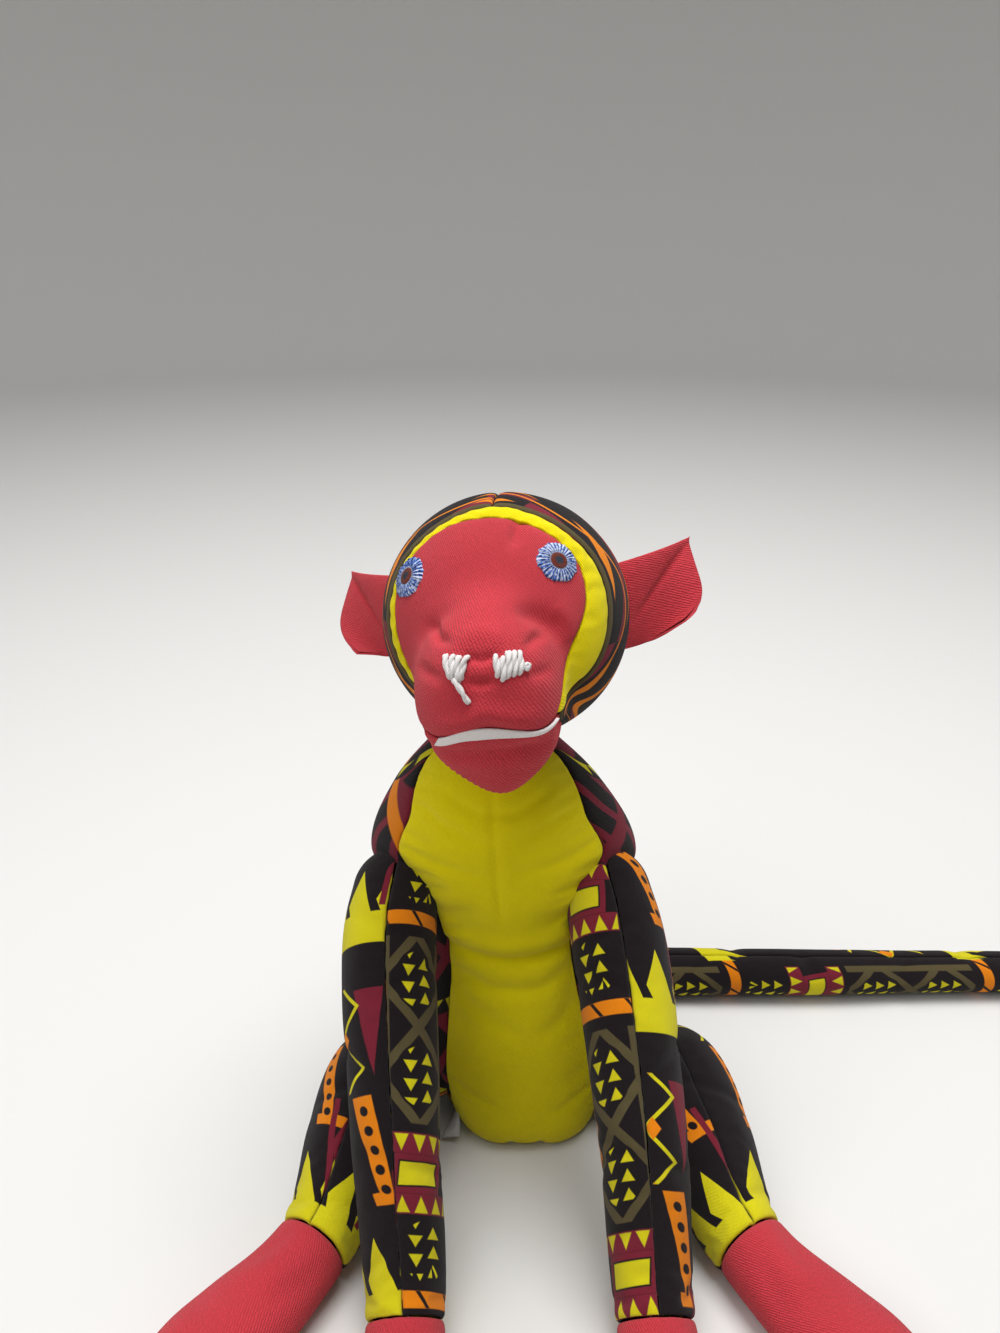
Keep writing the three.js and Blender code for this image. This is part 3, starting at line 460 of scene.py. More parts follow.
class CottonPrint:
    """A bold print of plain shapes: barred panels, seeded ovals, bands, crowns, framed blocks and trellis.

    Each motif takes the coordinates a across and b along from its own middle.
    """

    WIDTH = 72.0
    HEIGHT = 120.0

    def __init__(self, shader: ClothShader, across: Reading, along: Reading) -> None:
        """Takes the shader to draw in and the cloth coordinates."""
        self.shader = shader
        self.across = across
        self.along = along

    def around(self, x: float, y: float) -> tuple[Reading, Reading]:
        """Coordinates about the repeats of one place in the print."""
        return (self.across - x).folded(self.WIDTH), (self.along - y).folded(self.HEIGHT)

    def painted(self, ground: object, layout: Layout) -> NodeSocket:
        """The print over its ground colour, motif by motif."""
        colour = ground
        draw: Callable[[], Motif] = getattr(self, layout.value)
        for shape, tint in draw():
            colour = self.shader.mixed(colour, linear(*tint), shape.mask(0.35))
        return colour

    def columns(self) -> Motif:
        """Limbs: a column of barred panels, ovals and blocks beside a column of bands, crowns and zigzags."""
        places = (
            (self.barred_panel, 0, 88),
            (self.seeded_oval, 0, 103.5),
            (self.seeded_oval, 0, 72.5),
            (self.toothed_band, 0, 52, 1),
            (self.framed_block, 0, 42.5),
            (self.toothed_band, 0, 33, -1),
            (self.seeded_oval, -1, 18.5),
            (self.cuff_stripe, 0, 4.5),
            (self.crown, 36, 12),
            (self.dotted_band, 32, 50),
            (self.zigzag, 38, 86),
            (self.struts, 20, 26),
            (self.barbs, 19, 90),
        )
        return [part for motif, x, y, *way in places for part in motif(*self.around(x, y), *way)]

    def rings(self) -> Motif:
        """Hood: an olive edge, then orange lines and leaf-shaped bands that follow the edge at a slant."""
        edge = -abs(self.along - 1.1) + 1.1
        drift = self.along - 9.5 - self.across.sine(61) * 4.2
        line = -abs(drift) + 0.5
        near, far = self.across.folded(47), self.across.folded(53)
        leaf = -abs(self.along - 6.2 + near * 0.16) + 2.5 - abs(near) * 0.17
        wide = -abs(drift - 13 + far * 0.4) + 2.8 - abs(far) * 0.11
        bar = -abs((self.along - 40).folded(22) + self.across.folded(57) * 0.3) + 2.0
        return [(bar, MAROON), (edge, OLIVE), (line, ORANGE), (leaf, ORANGE), (wide, ORANGE)]

    def trellis(self) -> Motif:
        """Back and shoulders: a maroon trellis with dark cells, rows of yellow teeth and an orange stripe."""
        a, b = self.across, self.along
        slant = (a * 0.8 + b * 0.5).folded(15)
        other = (a * 0.72 - b * 0.62).folded(17)
        bars = (-abs(slant) + 2.3).most(-abs(other) + 2.1)
        upright = -abs(a.folded(31) - 9) + 1.9
        row = (b - 16).folded(56)
        strip = -abs(row) + 3.6
        tooth = (-abs(a.folded(6.4)) + row * 0.5 + 1.2).least(strip - 0.5)
        stripe = -abs((b * 0.5 - a * 0.75 + 9).folded(62)) + 1.7
        return [(bars.most(upright), MAROON), (stripe, ORANGE), (strip, GROUND), (tooth, PRINT_YELLOW)]

    def barred_panel(self, a: Reading, b: Reading) -> Motif:
        """Olive crossing bars between two upright rails."""
        box = (-abs(a) + 13).least(-abs(b) + 30)
        bars = -abs(abs(a) - abs(b.folded(31)) * 0.9) + 2.1
        rails = -abs(abs(a) - 11.6) + 1.4
        return [(box.least(bars.most(rails)), OLIVE)]

    def seeded_oval(self, a: Reading, b: Reading) -> Motif:
        """Dark oval with two columns of small yellow triangles, one pointing up and one down."""
        reach = (a * a * 1.5 + b * b).op("SQRT")
        up = b.folded(5.8)
        down = -(b + 2.9).folded(5.8)
        inside = -reach + 9.3
        left = (-abs(a + 3.2) - up * 0.62 + 1.15).least(up + 1.9, inside)
        right = (-abs(a - 3.2) - down * 0.62 + 1.15).least(down + 1.9, inside)
        return [(-reach + 10.2, GROUND), (left.most(right), PRINT_YELLOW)]

    def toothed_band(self, a: Reading, b: Reading, way: int) -> Motif:
        """Maroon strip with a row of yellow teeth."""
        strip = (-abs(a) + 13).least(-abs(b) + 3.2)
        tooth = (-abs(a.folded(6.2)) + b * (0.45 * way) + 1.1).least(strip - 0.5)
        return [(strip, MAROON), (tooth, PRINT_YELLOW)]

    def framed_block(self, a: Reading, b: Reading) -> Motif:
        """Slanted yellow block in a maroon frame."""
        shape = (-abs(a + b * 0.16) + 9.5).least(-abs(b) + 6.2)
        return [(shape, MAROON), (shape - 2.0, GROUND), (shape - 2.6, PRINT_YELLOW)]

    def cuff_stripe(self, a: Reading, b: Reading) -> Motif:
        """Orange stripe with a dark slanting cut now and then."""
        stripe = (-abs(b) + 2.4).least(-abs(a) + 22)
        cut = (-abs(a.folded(13) - b * 0.8) + 0.8).least(stripe)
        return [(stripe, ORANGE), (cut, GROUND)]

    def crown(self, a: Reading, b: Reading) -> Motif:
        """Yellow field with a tall row of teeth, and dark barbs cut into it."""
        teeth = (-(b + abs(a.folded(13)) * 2.5) + 11.5).least(b + 16, -abs(a) + 20)
        barb = (-abs(a.folded(13) - 6.5) * 2.0 - b + 2.5).least(b + 5)
        return [(teeth, PRINT_YELLOW), (barb, GROUND)]

    def dotted_band(self, a: Reading, b: Reading) -> Motif:
        """Slanting orange band with dark dots down its middle and a barb at its foot."""
        lean = a - b * 0.22
        band = (-abs(lean) + 3.2 + b * 0.06).least(-abs(b) + 17)
        dot = -((lean * lean) + b.folded(6.2) * b.folded(6.2)).op("SQRT") + 1.6
        barb = (-abs(b + 15.2) + 2.0).least(-abs(lean + 4) + 9)
        return [(band.most(barb), ORANGE), (dot.least(band), GROUND)]

    def struts(self, a: Reading, b: Reading) -> Motif:
        """Maroon slanting struts that meet at a knee."""
        box = (-abs(a) + 8).least(-abs(b) + 17)
        strut = (-abs(a + abs(b) * 0.55 - 4) + 1.7).most(-abs(a - 5.5) + 1.2)
        return [(box.least(strut), MAROON)]

    def zigzag(self, a: Reading, b: Reading) -> Motif:
        """Yellow line to and fro, with an orange lozenge in each bend and a maroon wedge beside it."""
        run = abs(b.folded(20)) * 1.1
        line = (-abs(a + run - 7.5) + 0.9).least(-abs(b) + 17)
        lozenge = (-abs(a - 4.5) - abs(b.folded(20)) * 0.8 + 2.8).least(-abs(b) + 17)
        wedge = (-abs(a + 8) + b * 0.2 + 2.6).least(-abs(b) + 15)
        return [(wedge, MAROON), (line, PRINT_YELLOW), (lozenge, ORANGE)]

    def barbs(self, a: Reading, b: Reading) -> Motif:
        """Two large yellow triangles one above the other, beside an orange bar."""
        row = b.folded(13)
        barb = (-abs(row) * 1.1 - a + 4.0).least(a + 4.0, -abs(b) + 12.5)
        bar = (-abs(a + 6.2) + 1.1).least(-abs(b) + 14)
        return [(barb, PRINT_YELLOW), (bar, ORANGE)]


class Wardrobe:
    """Makes each finish's material once and hands it out."""

    def __init__(self) -> None:
        """Starts with no material made."""
        self.made: dict[str, bpy.types.Material] = {}

    def dress(self, piece: Object, finish: Finish) -> None:
        """Gives a piece its finish."""
        if finish.name not in self.made:
            self.made[finish.name] = ClothShader(finish).finished()
        piece.data.materials.append(self.made[finish.name])


# Sewing


# Least height of stuffed limbs over the ground, and of trimmings over the face, in millimetres
GROUND_GAP = 0.2
FACE_GAP = 0.35

# How full pieces are stuffed
FIRM = 0.8
FULL = 0.75
SOFT = 0.7


@dataclass
class Hem:
    """Which of a panel's four edges are sewn: its first and last rows and its first and last columns."""

    foot: bool = True
    head: bool = True
    left: bool = True
    right: bool = True


@dataclass
class Crease:
    """A line pressed into the cloth along a run of points, or raised from it where the depth is negative."""

    line: Sequence[Array]
    width: float
    depth: float

    def pressed(self, points: Array) -> Array:
        """Depth at each point: a bell of the distance from the line, fading towards both its ends."""
        knots = np.array(self.line, float)
        steps = np.diff(knots, axis=0)
        run = run_along(knots)
        best = np.full(points.shape[:-1], np.inf)
        place = np.zeros(points.shape[:-1])
        for knot, step, start, span in zip(knots, steps, run, np.linalg.norm(steps, axis=1)):
            share = np.clip(((points - knot) @ step) / span**2, 0, 1)
            away = np.linalg.norm(points - knot - share[..., None] * step, axis=-1)
            place = np.where(away < best, (start + share * span) / run[-1], place)
            best = np.minimum(away, best)
        fade = np.sin(pi * np.clip(place, 0.02, 0.98)) ** 0.5
        return self.depth * fade * np.exp(-((best / self.width) ** 2))


@dataclass
class Socket:
    """A ball that a limb or the head turns on: cloth is eased back from it, and cut open or laid against it.

    The easing is a bell of the distance past the ball.
    """

    centre: Array
    radius: float
    ease: float = 1.2
    spread: float = 3.0

    OVERLAP = 1.0

    def eased(self, points: Array) -> Array:
        """Depth that the cloth gives way at each point."""
        past = np.linalg.norm(points - self.centre, axis=-1) - self.radius
        return self.ease * np.exp(-((np.maximum(past, 0) / self.spread) ** 2))

    def outside(self, points: Array) -> Array:
        """True where the cloth stays, from a little way inside the ball outwards."""
        return np.linalg.norm(points - self.centre, axis=-1) > self.radius - self.OVERLAP

    def seated(self, points: Array) -> Array:
        """Points inside the ball moved straight out from its middle until they lie on it."""
        away = points - self.centre
        far = np.linalg.norm(away, axis=-1, keepdims=True)
        return self.centre + away * np.maximum(self.radius / np.maximum(far, 1e-9), 1)


@dataclass
class Panel:
    """One piece of cloth: a grid of points over a form, sewn along some of its edges.

    Attributes:
        points: Rows by columns of points on the form, in millimetres.
        core: Points inside the form, which the faces look away from.
        closed: Whether the last column meets the first.
        poles: Whether the first and the last row come to a point.
        clear_of: Sockets that it is cut open for.
        seat: The socket that it is laid against, or None.
        ribs: Height of fine gathers over the grid, or None.
        flat: Cloth coordinates over the grid, or None to take lengths along its rows and columns.
        pucker: Height of the small gathers beside a seam.
        origin: Where it starts in the print.
        ease: Share that the cloth shrinks by, below 0 where there is spare cloth.
        cap: How far stuffing may move a point.
    """

    PUCKER_PITCH = 6.0
    PUCKER_REACH = 3.2
    PUCKER_START = 0.6
    WOBBLE = 0.9
    WOBBLE_LENGTH = 37.0
    UNEVEN = 0.25
    UNEVEN_LENGTH = 60.0

    name: str
    points: Array
    core: Array
    hem: Hem = field(default_factory=Hem)
    closed: bool = False
    poles: tuple[bool, bool] = (False, False)
    creases: Sequence[Crease] = ()
    clear_of: Sequence[Socket] = ()
    seat: Optional[Socket] = None
    ribs: Optional[Array] = None
    flat: Optional[tuple[Array, Array]] = None
    seam_depth: float = 0.6
    seam_width: float = 1.5
    pucker: float = 0.28
    turn_in: float = 2.2
    origin: Pair = (0.0, 0.0)
    pressure: float = 1.2
    ease: float = -0.02
    cap: float = 1.6

    def normals(self, points: Array) -> Array:
        """Unit outward directions: the cross product of the grid's slopes, turned away from the core."""
        normal = facing(points)
        if self.closed:
            normal[:, [0, -1]] = normal[:, [0]] + normal[:, [-1]]
        normal = unit(normal)
        for row, beside, pole in ((0, 1, self.poles[0]), (-1, -2, self.poles[1])):
            if pole:
                normal[row] = unit(normal[beside].mean(0))
        return normal if faces_away(points, self.core) else -normal

    def lengths(self) -> tuple[Array, Array]:
        """Cloth coordinates: lengths across from the middle column and along from the first row."""
        across = run_along(self.points, axis=1)
        return across - across[:, [across.shape[1] // 2]], run_along(self.points)

    def edges(self) -> list[tuple[int, int, float]]:
        """Sewn edges: axis and end of the grid, and where lengths along the edge start."""
        open_grid = not self.closed
        hems = (
            (self.hem.foot, 0, 0, 0),
            (self.hem.head, 0, -1, 40),
            (self.hem.left and open_grid, 1, 0, 80),
            (self.hem.right and open_grid, 1, -1, 120),
        )
        return [(axis, end, start) for sewn, axis, end, start in hems if sewn]

    def from_seam(self) -> tuple[Array, Array]:
        """Distance of each point from the nearest sewn edge, and the length along that edge."""
        across, along = self.lengths()
        away, run = [], []
        for axis, end, start in self.edges():
            measure, beside = (across, along) if axis else (along, across)
            away.append(np.abs(measure - np.take(measure, [end], axis)))
            run.append(beside + start)
        nearest = np.argmin(away, axis=0)[None]
        distance, place = (np.take_along_axis(np.stack(grids), nearest, 0)[0] for grids in (away, run))
        return distance, place

    def sewn(self, seed: int) -> Array:
        """Points drawn in along the seams, gathered into small puckers beside them, and creased.

        The draw is a bell of the distance from the seam. Puckers are a wave along it that dies away.
        """
        normal = self.normals(self.points)
        away, run = self.from_seam()
        depth = self.seam_depth * np.exp(-((away / self.seam_width) ** 2))
        wobble = self.WOBBLE * waves(seed, np.stack([run, away], -1), self.WOBBLE_LENGTH)
        gather = np.sin(TAU * run / self.PUCKER_PITCH + 4 * wobble) * (0.6 + 0.4 * wobble)
        fade = np.exp(-away / self.PUCKER_REACH)
        depth = depth + self.pucker * gather * fade * (1 - np.exp(-away / self.PUCKER_START))
        for crease in self.creases:
            depth = depth + crease.pressed(self.points)
        for socket in self.clear_of:
            depth = depth + socket.eased(self.points)
        if self.ribs is not None:
            depth = depth - self.ribs
        depth = depth + self.UNEVEN * waves(seed + 7, self.points, self.UNEVEN_LENGTH)
        return self.points - normal * depth[..., None]

    def stays(self, places: Array) -> Array:
        """True at places in metres that lie outside every socket it is cut open for."""
        return np.all([socket.outside(places / MM) for socket in self.clear_of], axis=0)

    def pinned(self) -> Array:
        """True on the sewn edges and at the points, which the stuffing doesn't move."""
        held = np.zeros(self.points.shape[:2], bool)
        held[0] = self.poles[0]
        held[-1] = self.poles[1]
        for axis, end, _ in self.edges():
            np.moveaxis(held, axis, 0)[end] = True
        return held

    def turned_in(
        self, points: Array, normal: Array, across: Array, along: Array
    ) -> tuple[Array, Array, Array]:
        """Adds a row or column past each sewn edge, turned down into the form as a seam allowance.

        Args:
            points: The panel's grid.
            normal: Its outward directions.
            across: Cloth coordinate across.
            along: Cloth coordinate along.

        Returns:
            The wider grid and its two cloth coordinates.
        """
        inner = points - self.turn_in * normal
        for axis, end, _ in self.edges():
            step = self.turn_in if end else -self.turn_in
            extra = [
                np.take(inner, [end], axis),
                np.take(inner, [end], axis),
                np.take(across, [end], axis) + (step if axis == 1 else 0),
                np.take(along, [end], axis) + (step if axis == 0 else 0),
            ]
            points, inner, across, along = (
                np.concatenate([grid, new] if end else [new, grid], axis=axis)
                for new, grid in zip(extra, (points, inner, across, along))
            )
        return points, across, along


@dataclass
class Patch:
    """One grid of a mesh: points in metres, cloth coordinates, and how its edges meet."""

    points: Array
    uv: Array
    closed: bool = False
    poles: tuple[bool, bool] = (False, False)
    outward: bool = True

    def cells(self) -> tuple[Array, list[Array]]:
        """Corner numbers, shared along joined edges, and cells: quads, and triangles beside poles."""
        rows, columns = self.points.shape[:2]
        own = np.arange(rows * columns).reshape(rows, columns)
        shared = own.copy()
        if self.closed:
            shared[:, -1] = shared[:, 0]
        corners = [own[:-1, :-1], own[1:, :-1], own[1:, 1:], own[:-1, 1:]]
        quads = np.stack(corners if self.outward else corners[::-1], -1)
        groups = [quads[int(self.poles[0]) : rows - 1 - int(self.poles[1])].reshape(-1, 4)]
        for row, pole in zip((0, -1), self.poles):
            if pole:
                shared[row] = shared[row, 0]
                on_pole = np.isin(quads[row], own[row])
                second = on_pole & (np.cumsum(on_pole, axis=1) == 2)
                groups.append(quads[row][~second].reshape(-1, 3))
        return shared.reshape(-1), groups


class Workroom:
    """Sews, stuffs and places panels as finished pieces."""

    SCALE = 20.0
    FRAMES = 14

    def __init__(self, wardrobe: Wardrobe) -> None:
        """Takes the wardrobe that gives pieces their finishes."""
        self.wardrobe = wardrobe
        self.count = 0

    @staticmethod
    def mesh(name: str, patches: Sequence[Patch], keep: Optional[Callable[[Array], Array]] = None) -> Object:
        """Puts grids into one mesh with cloth coordinates.

        Args:
            name: The object's name.
            patches: The grids.
            keep: Tells from face middles which faces stay.

        Returns:
            The new object, in the scene.
        """
        places, faces, corner_uv = [], [], []
        total = 0
        for patch in patches:
            shared, groups = patch.cells()
            points = patch.points.reshape(-1, 3)
            if keep is not None:
                groups = [cells[keep(points[cells].mean(1))] for cells in groups]
            used = np.unique(np.concatenate([shared[cells].reshape(-1) for cells in groups]))
            number = np.full(len(shared), -1)
            number[used] = np.arange(len(used)) + total
            for cells in groups:
                faces += number[shared[cells]].tolist()
                corner_uv.append(patch.uv.reshape(-1, 2)[cells.reshape(-1)])
            places.append(points[used])
            total += len(used)
        mesh = bpy.data.meshes.new(name)
        mesh.from_pydata(np.concatenate(places).tolist(), [], faces)
        layer = mesh.uv_layers.new(name="cloth")
        layer.data.foreach_set("uv", np.concatenate(corner_uv).astype(np.float32).reshape(-1))
        mesh.polygons.foreach_set("use_smooth", np.ones(len(mesh.polygons), bool))
        mesh.update()
        piece = bpy.data.objects.new(name, mesh)
        bpy.context.scene.collection.objects.link(piece)
        return piece

    def stuffed(self, panel: Panel, points: Array, outward: bool) -> Array:
        """Fills a panel: a cloth held at its seams swells under pressure, with spare cloth that wrinkles.

        It is worked at a larger scale, which suits the solver's stiffness, and no point moves past the cap.

        Args:
            panel: The panel, with its pressure, ease and cap.
            points: Its sewn grid.
            outward: Whether its cells look outwards.

        Returns:
            The grid after stuffing.
        """
        rows, columns = points.shape[:2]
        grid = Patch(points * MM * self.SCALE, np.zeros((rows, columns, 2)), outward=outward)
        model = self.mesh("stuffing_work", [grid])
        held = model.vertex_groups.new(name="held")
        held.add(np.flatnonzero(panel.pinned().reshape(-1)).tolist(), 1.0, "REPLACE")
        cloth = model.modifiers.new("stuffing", "CLOTH")
        settings = cloth.settings
        settings.quality = 4
        settings.vertex_group_mass = "held"
        settings.use_pressure = True
        settings.uniform_pressure_force = panel.pressure
        settings.shrink_min = settings.shrink_max = panel.ease
        settings.effector_weights.gravity = 0
        cloth.collision_settings.use_collision = False
        cloth.point_cache.frame_end = self.FRAMES
        scene = bpy.context.scene
        for step in range(1, self.FRAMES + 1):
            scene.frame_set(step)
        shaped = model.evaluated_get(bpy.context.evaluated_depsgraph_get()).to_mesh()
        moved = np.empty(rows * columns * 3, np.float32)
        shaped.vertices.foreach_get("co", moved)
        bpy.data.objects.remove(model)
        scene.frame_set(1)
        shift = moved.reshape(rows, columns, 3) / (MM * self.SCALE) - points
        far = np.linalg.norm(shift, axis=-1, keepdims=True)
        shift = shift * (panel.cap * np.tanh(far / panel.cap) / np.maximum(far, 1e-9))
        if panel.closed:
            shift[:, [0, -1]] = (shift[:, [0]] + shift[:, [-1]]) / 2
        return points + shift

    def cut(self, panel: Panel, stuffed: bool = True, floor: float = GROUND_GAP) -> Object:
        """Shapes a panel: sewn, stuffed, kept above the ground, turned in at its seams and smoothed.

        Args:
            panel: The panel.
            stuffed: Whether it is filled.
            floor: Lowest height that it may reach, in millimetres.

        Returns:
            The object, not yet dressed.
        """
        self.count += 1
        points = panel.sewn(11 * self.count)
        outward = faces_away(panel.points, panel.core)
        if stuffed:
            points = self.stuffed(panel, points, outward)
        points[..., 2] = np.maximum(points[..., 2], floor)
        across, along = panel.flat or panel.lengths()
        points, across, along = panel.turned_in(points, panel.normals(points), across, along)
        points[..., 2] = np.maximum(points[..., 2], floor)
        if panel.seat is not None:
            points = panel.seat.seated(points)
        uv = np.stack([across + panel.origin[0], along + panel.origin[1]], -1) * MM
        patch = Patch(points * MM, uv, panel.closed, panel.poles, outward)
        piece = self.mesh(panel.name, [patch], panel.stays if panel.clear_of else None)
        smooth = piece.modifiers.new("smooth", "SUBSURF")
        smooth.levels = smooth.render_levels = 1
        return piece

    def place(
        self,
        piece: Object,
        finish: Finish,
        body: Union[str, "Bend"],
        nodes: Sequence[str],
        fill: Optional[float] = None,
    ) -> None:
        """Dresses a piece, hangs it on the body that it moves with or else leaves it fixed where it is, hides
        the solids that it stands for, and reports it.

        Args:
            piece: The piece.
            finish: Its cloth.
            body: The body that it moves with, or a bend across a joint, for which the piece stays fixed where
                it is made.
            nodes: The solids that it stands for.
            fill: How full it is stuffed, or None for unstuffed cloth; not used.
        """
        self.wardrobe.dress(piece, finish)
        if isinstance(body, Bend):
            body.start * MM
            body.end * MM
            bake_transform(piece)
        else:
            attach(piece, body)
        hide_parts(*nodes)
        log.info("%s: %d points in %s", piece.name, len(piece.data.vertices), finish.name)


@dataclass
class Bend:
    """A joint that cloth crosses: the body on each side of it and two points along it."""

    held: str
    moved: str
    start: Array
    end: Array


# Forms


Choice = TypeVar("Choice")


class Side(Enum):
    """The toy's own left and right, as the sign of X."""

    LEFT = 1
    RIGHT = -1

    @property
    def word(self) -> str:
        """The side's name in piece names."""
        return self.name.lower()

    def pick(self, left: Choice, right: Choice) -> Choice:
        """Whichever of two values is this side's."""
        return left if self is Side.LEFT else right


@dataclass
class Torso:
    """The body: level ovals from the seat to the round neck, in a yellow front and two printed halves."""

    seat: Pair = (35, 34)
    hip: Triple = (47, 38, 28)
    waist: Triple = (41, 31, 92)
    chest: Triple = (51, 32, 120)
    shoulder: Triple = (39.5, 29.5, 147)
    neck_radius: float = 22
    neck_height: float = 173
    neck_foot: float = radians(-12)
    neck_top: float = radians(78)
    neck_open: float = 4
    lean: float = tan(radians(-4.6))
    tail_end: float = 18
    tail_half_width: float = 4
    front: Stations = (
        (0, 47), (0.2, 40), (0.4, 35), (0.53, 35), (0.6, 40), (0.66, 49),
        (0.69, 52.8), (0.72, 53.4), (0.8, 54), (1, 75), (2, 75),
    )
    label: Triple = (8, 11, 0.5)
    label_along: float = 0.06
    label_out: float = 12
    label_twist: float = 70
    label_droop: float = 4.6

    def __post_init__(self) -> None:
        """Makes the curve of half widths, half depths and heights."""
        foot = self.neck_radius * cos(self.neck_foot)
        neck = (foot, foot, self.neck_height + self.neck_radius * sin(self.neck_foot))
        self.profile = SoftCurve([(*self.seat, 0), self.hip, self.waist, self.chest, self.shoulder, neck])
        self.neck_centre = vec(self.middle(self.neck_height), 0, self.neck_height)

    def middle(self, height: Array) -> Array:
        """X of the torso's own line, which leans up to the middle of the neck."""
        return self.lean * np.minimum(height, self.neck_height)

    def point(self, along: Array, angle: Array) -> Array:
        """Points of the form: an oval at each height, and a ball above the foot of the neck.

        Args:
            along: 0 at the rim of the seat, 1 at the foot of the neck, 2 at its top.
            angle: Angle round from the front towards the left.

        Returns:
            Points.
        """
        section = self.profile.at(along)
        rise = self.neck_foot + (pi / 2 - self.neck_foot) * np.clip(along - 1, 0, 1)
        ball = self.neck_radius * np.cos(rise)
        dome = np.stack([ball, ball, self.neck_height + self.neck_radius * np.sin(rise)], -1)
        section = np.where((along > 1)[..., None], dome, section)
        x = self.middle(section[..., 2]) + section[..., 0] * np.sin(angle)
        return np.stack([x, -section[..., 1] * np.cos(angle), section[..., 2]], -1)

    def front_angle(self, along: Array) -> Array:
        """Half angle of the yellow front at each height."""
        return np.radians(smooth_value(self.front, along))

    def rows(self, count: int) -> Array:
        """Places up the torso from the rim of the seat to the neck."""
        top = 1 + (self.neck_top - self.neck_foot) / (pi / 2 - self.neck_foot)
        return np.concatenate([np.linspace(0, 1, count), np.linspace(1, top, 17)[1:]])

    def core(self, points: Array) -> Array:
        """Points on the torso's own line at the same heights."""
        z = np.clip(points[..., 2], 20, self.neck_height - 20)
        return np.stack([self.middle(z), 0 * z, z], -1)

    def root(self, along: float, degrees: float) -> Array:
        """Where a limb starts: a point on the form, measured across from the torso's own line."""
        point = self.point(np.array(along), np.array(radians(degrees)))
        point[0] -= self.middle(point[2])
        return point

    def neck_socket(self) -> Socket:
        """The hollow inside the ball of the neck that front and back are open for."""
        return Socket(self.neck_centre, self.neck_radius - self.neck_open, ease=2.2, spread=5.0)

    @staticmethod
    def rounded(points: Array, seat_rows: int) -> Array:
        """Rounds the rim of the seat by averaging each row there with its neighbours, several times."""
        first, last = max(seat_rows - 5, 1), seat_rows + 6
        for _ in range(9):
            below, above = points[first - 1 : last - 1], points[first + 1 : last + 1]
            points[first:last] = (below + points[first:last] * 2 + above) / 4
        return points

    def front_grid(self) -> Array:
        """The yellow front: a strip between the front angles, carried on under the seat and narrowed."""
        across = np.linspace(-1, 1, 56)
        u, v = lattice(self.rows(112), across)
        up = self.point(u, v * self.front_angle(u))
        back, beside = lattice(np.linspace(1, 0, 20)[:-1], across)
        rim = self.point(0 * back, beside * self.front_angle(0 * back))
        end = np.stack([beside * self.tail_half_width, 0 * beside + self.tail_end, 0 * beside], -1)
        return self.rounded(np.concatenate([rim + (end - rim) * back[..., None], up]), 19)

    def back_grid(self, side: Side) -> Array:
        """One printed half: from the front seam round to the seam down the back, and on under the seat."""
        across = np.linspace(0, 1, 46)
        u, v = lattice(self.rows(84), across)
        start = self.front_angle(u)
        up = self.point(u, start + (pi - start) * v)
        back, beside = lattice(np.linspace(1, 0, 12)[:-1], across)
        begin = self.front_angle(0 * back)
        rim = self.point(0 * back, begin + (pi - begin) * beside)
        corner = self.point(0 * back, begin)
        end = vec(self.tail_half_width, self.tail_end, 0)
        edge = corner + (end - corner) * np.minimum(beside / 0.9, 1)[..., None]
        edge[..., 0] *= np.clip((1 - beside) / 0.1, 0, 1)
        points = self.rounded(np.concatenate([rim + (edge - rim) * back[..., None], up]), 11)
        middle = self.middle(points[..., 2])
        points[..., 0] = middle + side.value * (points[..., 0] - middle)
        return points

    def line(self, *places: Pair) -> list[Array]:
        """Points on the form from pairs of place up it and degrees round it."""
        return [self.point(np.array(along), np.array(radians(turn))) for along, turn in places]

    def folds(self) -> list[Crease]:
        """Folds of the front, as width, depth and places: belly, chest seam, waist, slack below the neck."""
        table = (
            (14.0, -2.8, ((0.07, -38), (0.055, -18), (0.05, 0), (0.055, 18), (0.07, 38))),
            (13.0, -2.6, ((0.06, -8), (0.065, -28), (0.075, -44))),
            (13.0, -2.6, ((0.06, 8), (0.065, 28), (0.075, 44))),
            (1.2, 1.7, ((0.97, -2), (0.85, -2), (0.72, -2), (0.6, -2), (0.5, -2))),
            (2.6, 2.6, ((0.42, -40), (0.4, -20), (0.395, 0), (0.4, 20), (0.415, 38))),
            (4.0, -1.6, ((0.45, -38), (0.435, 0), (0.445, 36))),
            (2.2, 1.5, ((0.37, -36), (0.35, -10), (0.35, 14), (0.375, 36))),
            (2.6, 1.6, ((0.36, -40), (0.325, -22), (0.29, 4))),
            (2.6, 1.1, ((0.33, 36), (0.3, 20), (0.285, 8))),
            (2.4, 1.5, ((0.64, -46), (0.55, -34), (0.48, -22))),
            (2.4, 1.5, ((0.64, 44), (0.56, 33), (0.49, 20))),
            (2.0, 1.0, ((0.9, -36), (0.85, -12), (0.85, 12), (0.9, 36))),
            (2.0, 0.9, ((0.82, -42), (0.77, -14), (0.765, -5))),
            (2.0, 0.9, ((0.82, 42), (0.78, 16), (0.77, 3))),
            (2.0, 0.8, ((0.7, -44), (0.68, -20), (0.665, -6))),
            (2.0, 0.8, ((0.71, 44), (0.69, 22), (0.68, 6))),
        )
        return [Crease(self.line(*places), width, depth) for width, depth, places in table]

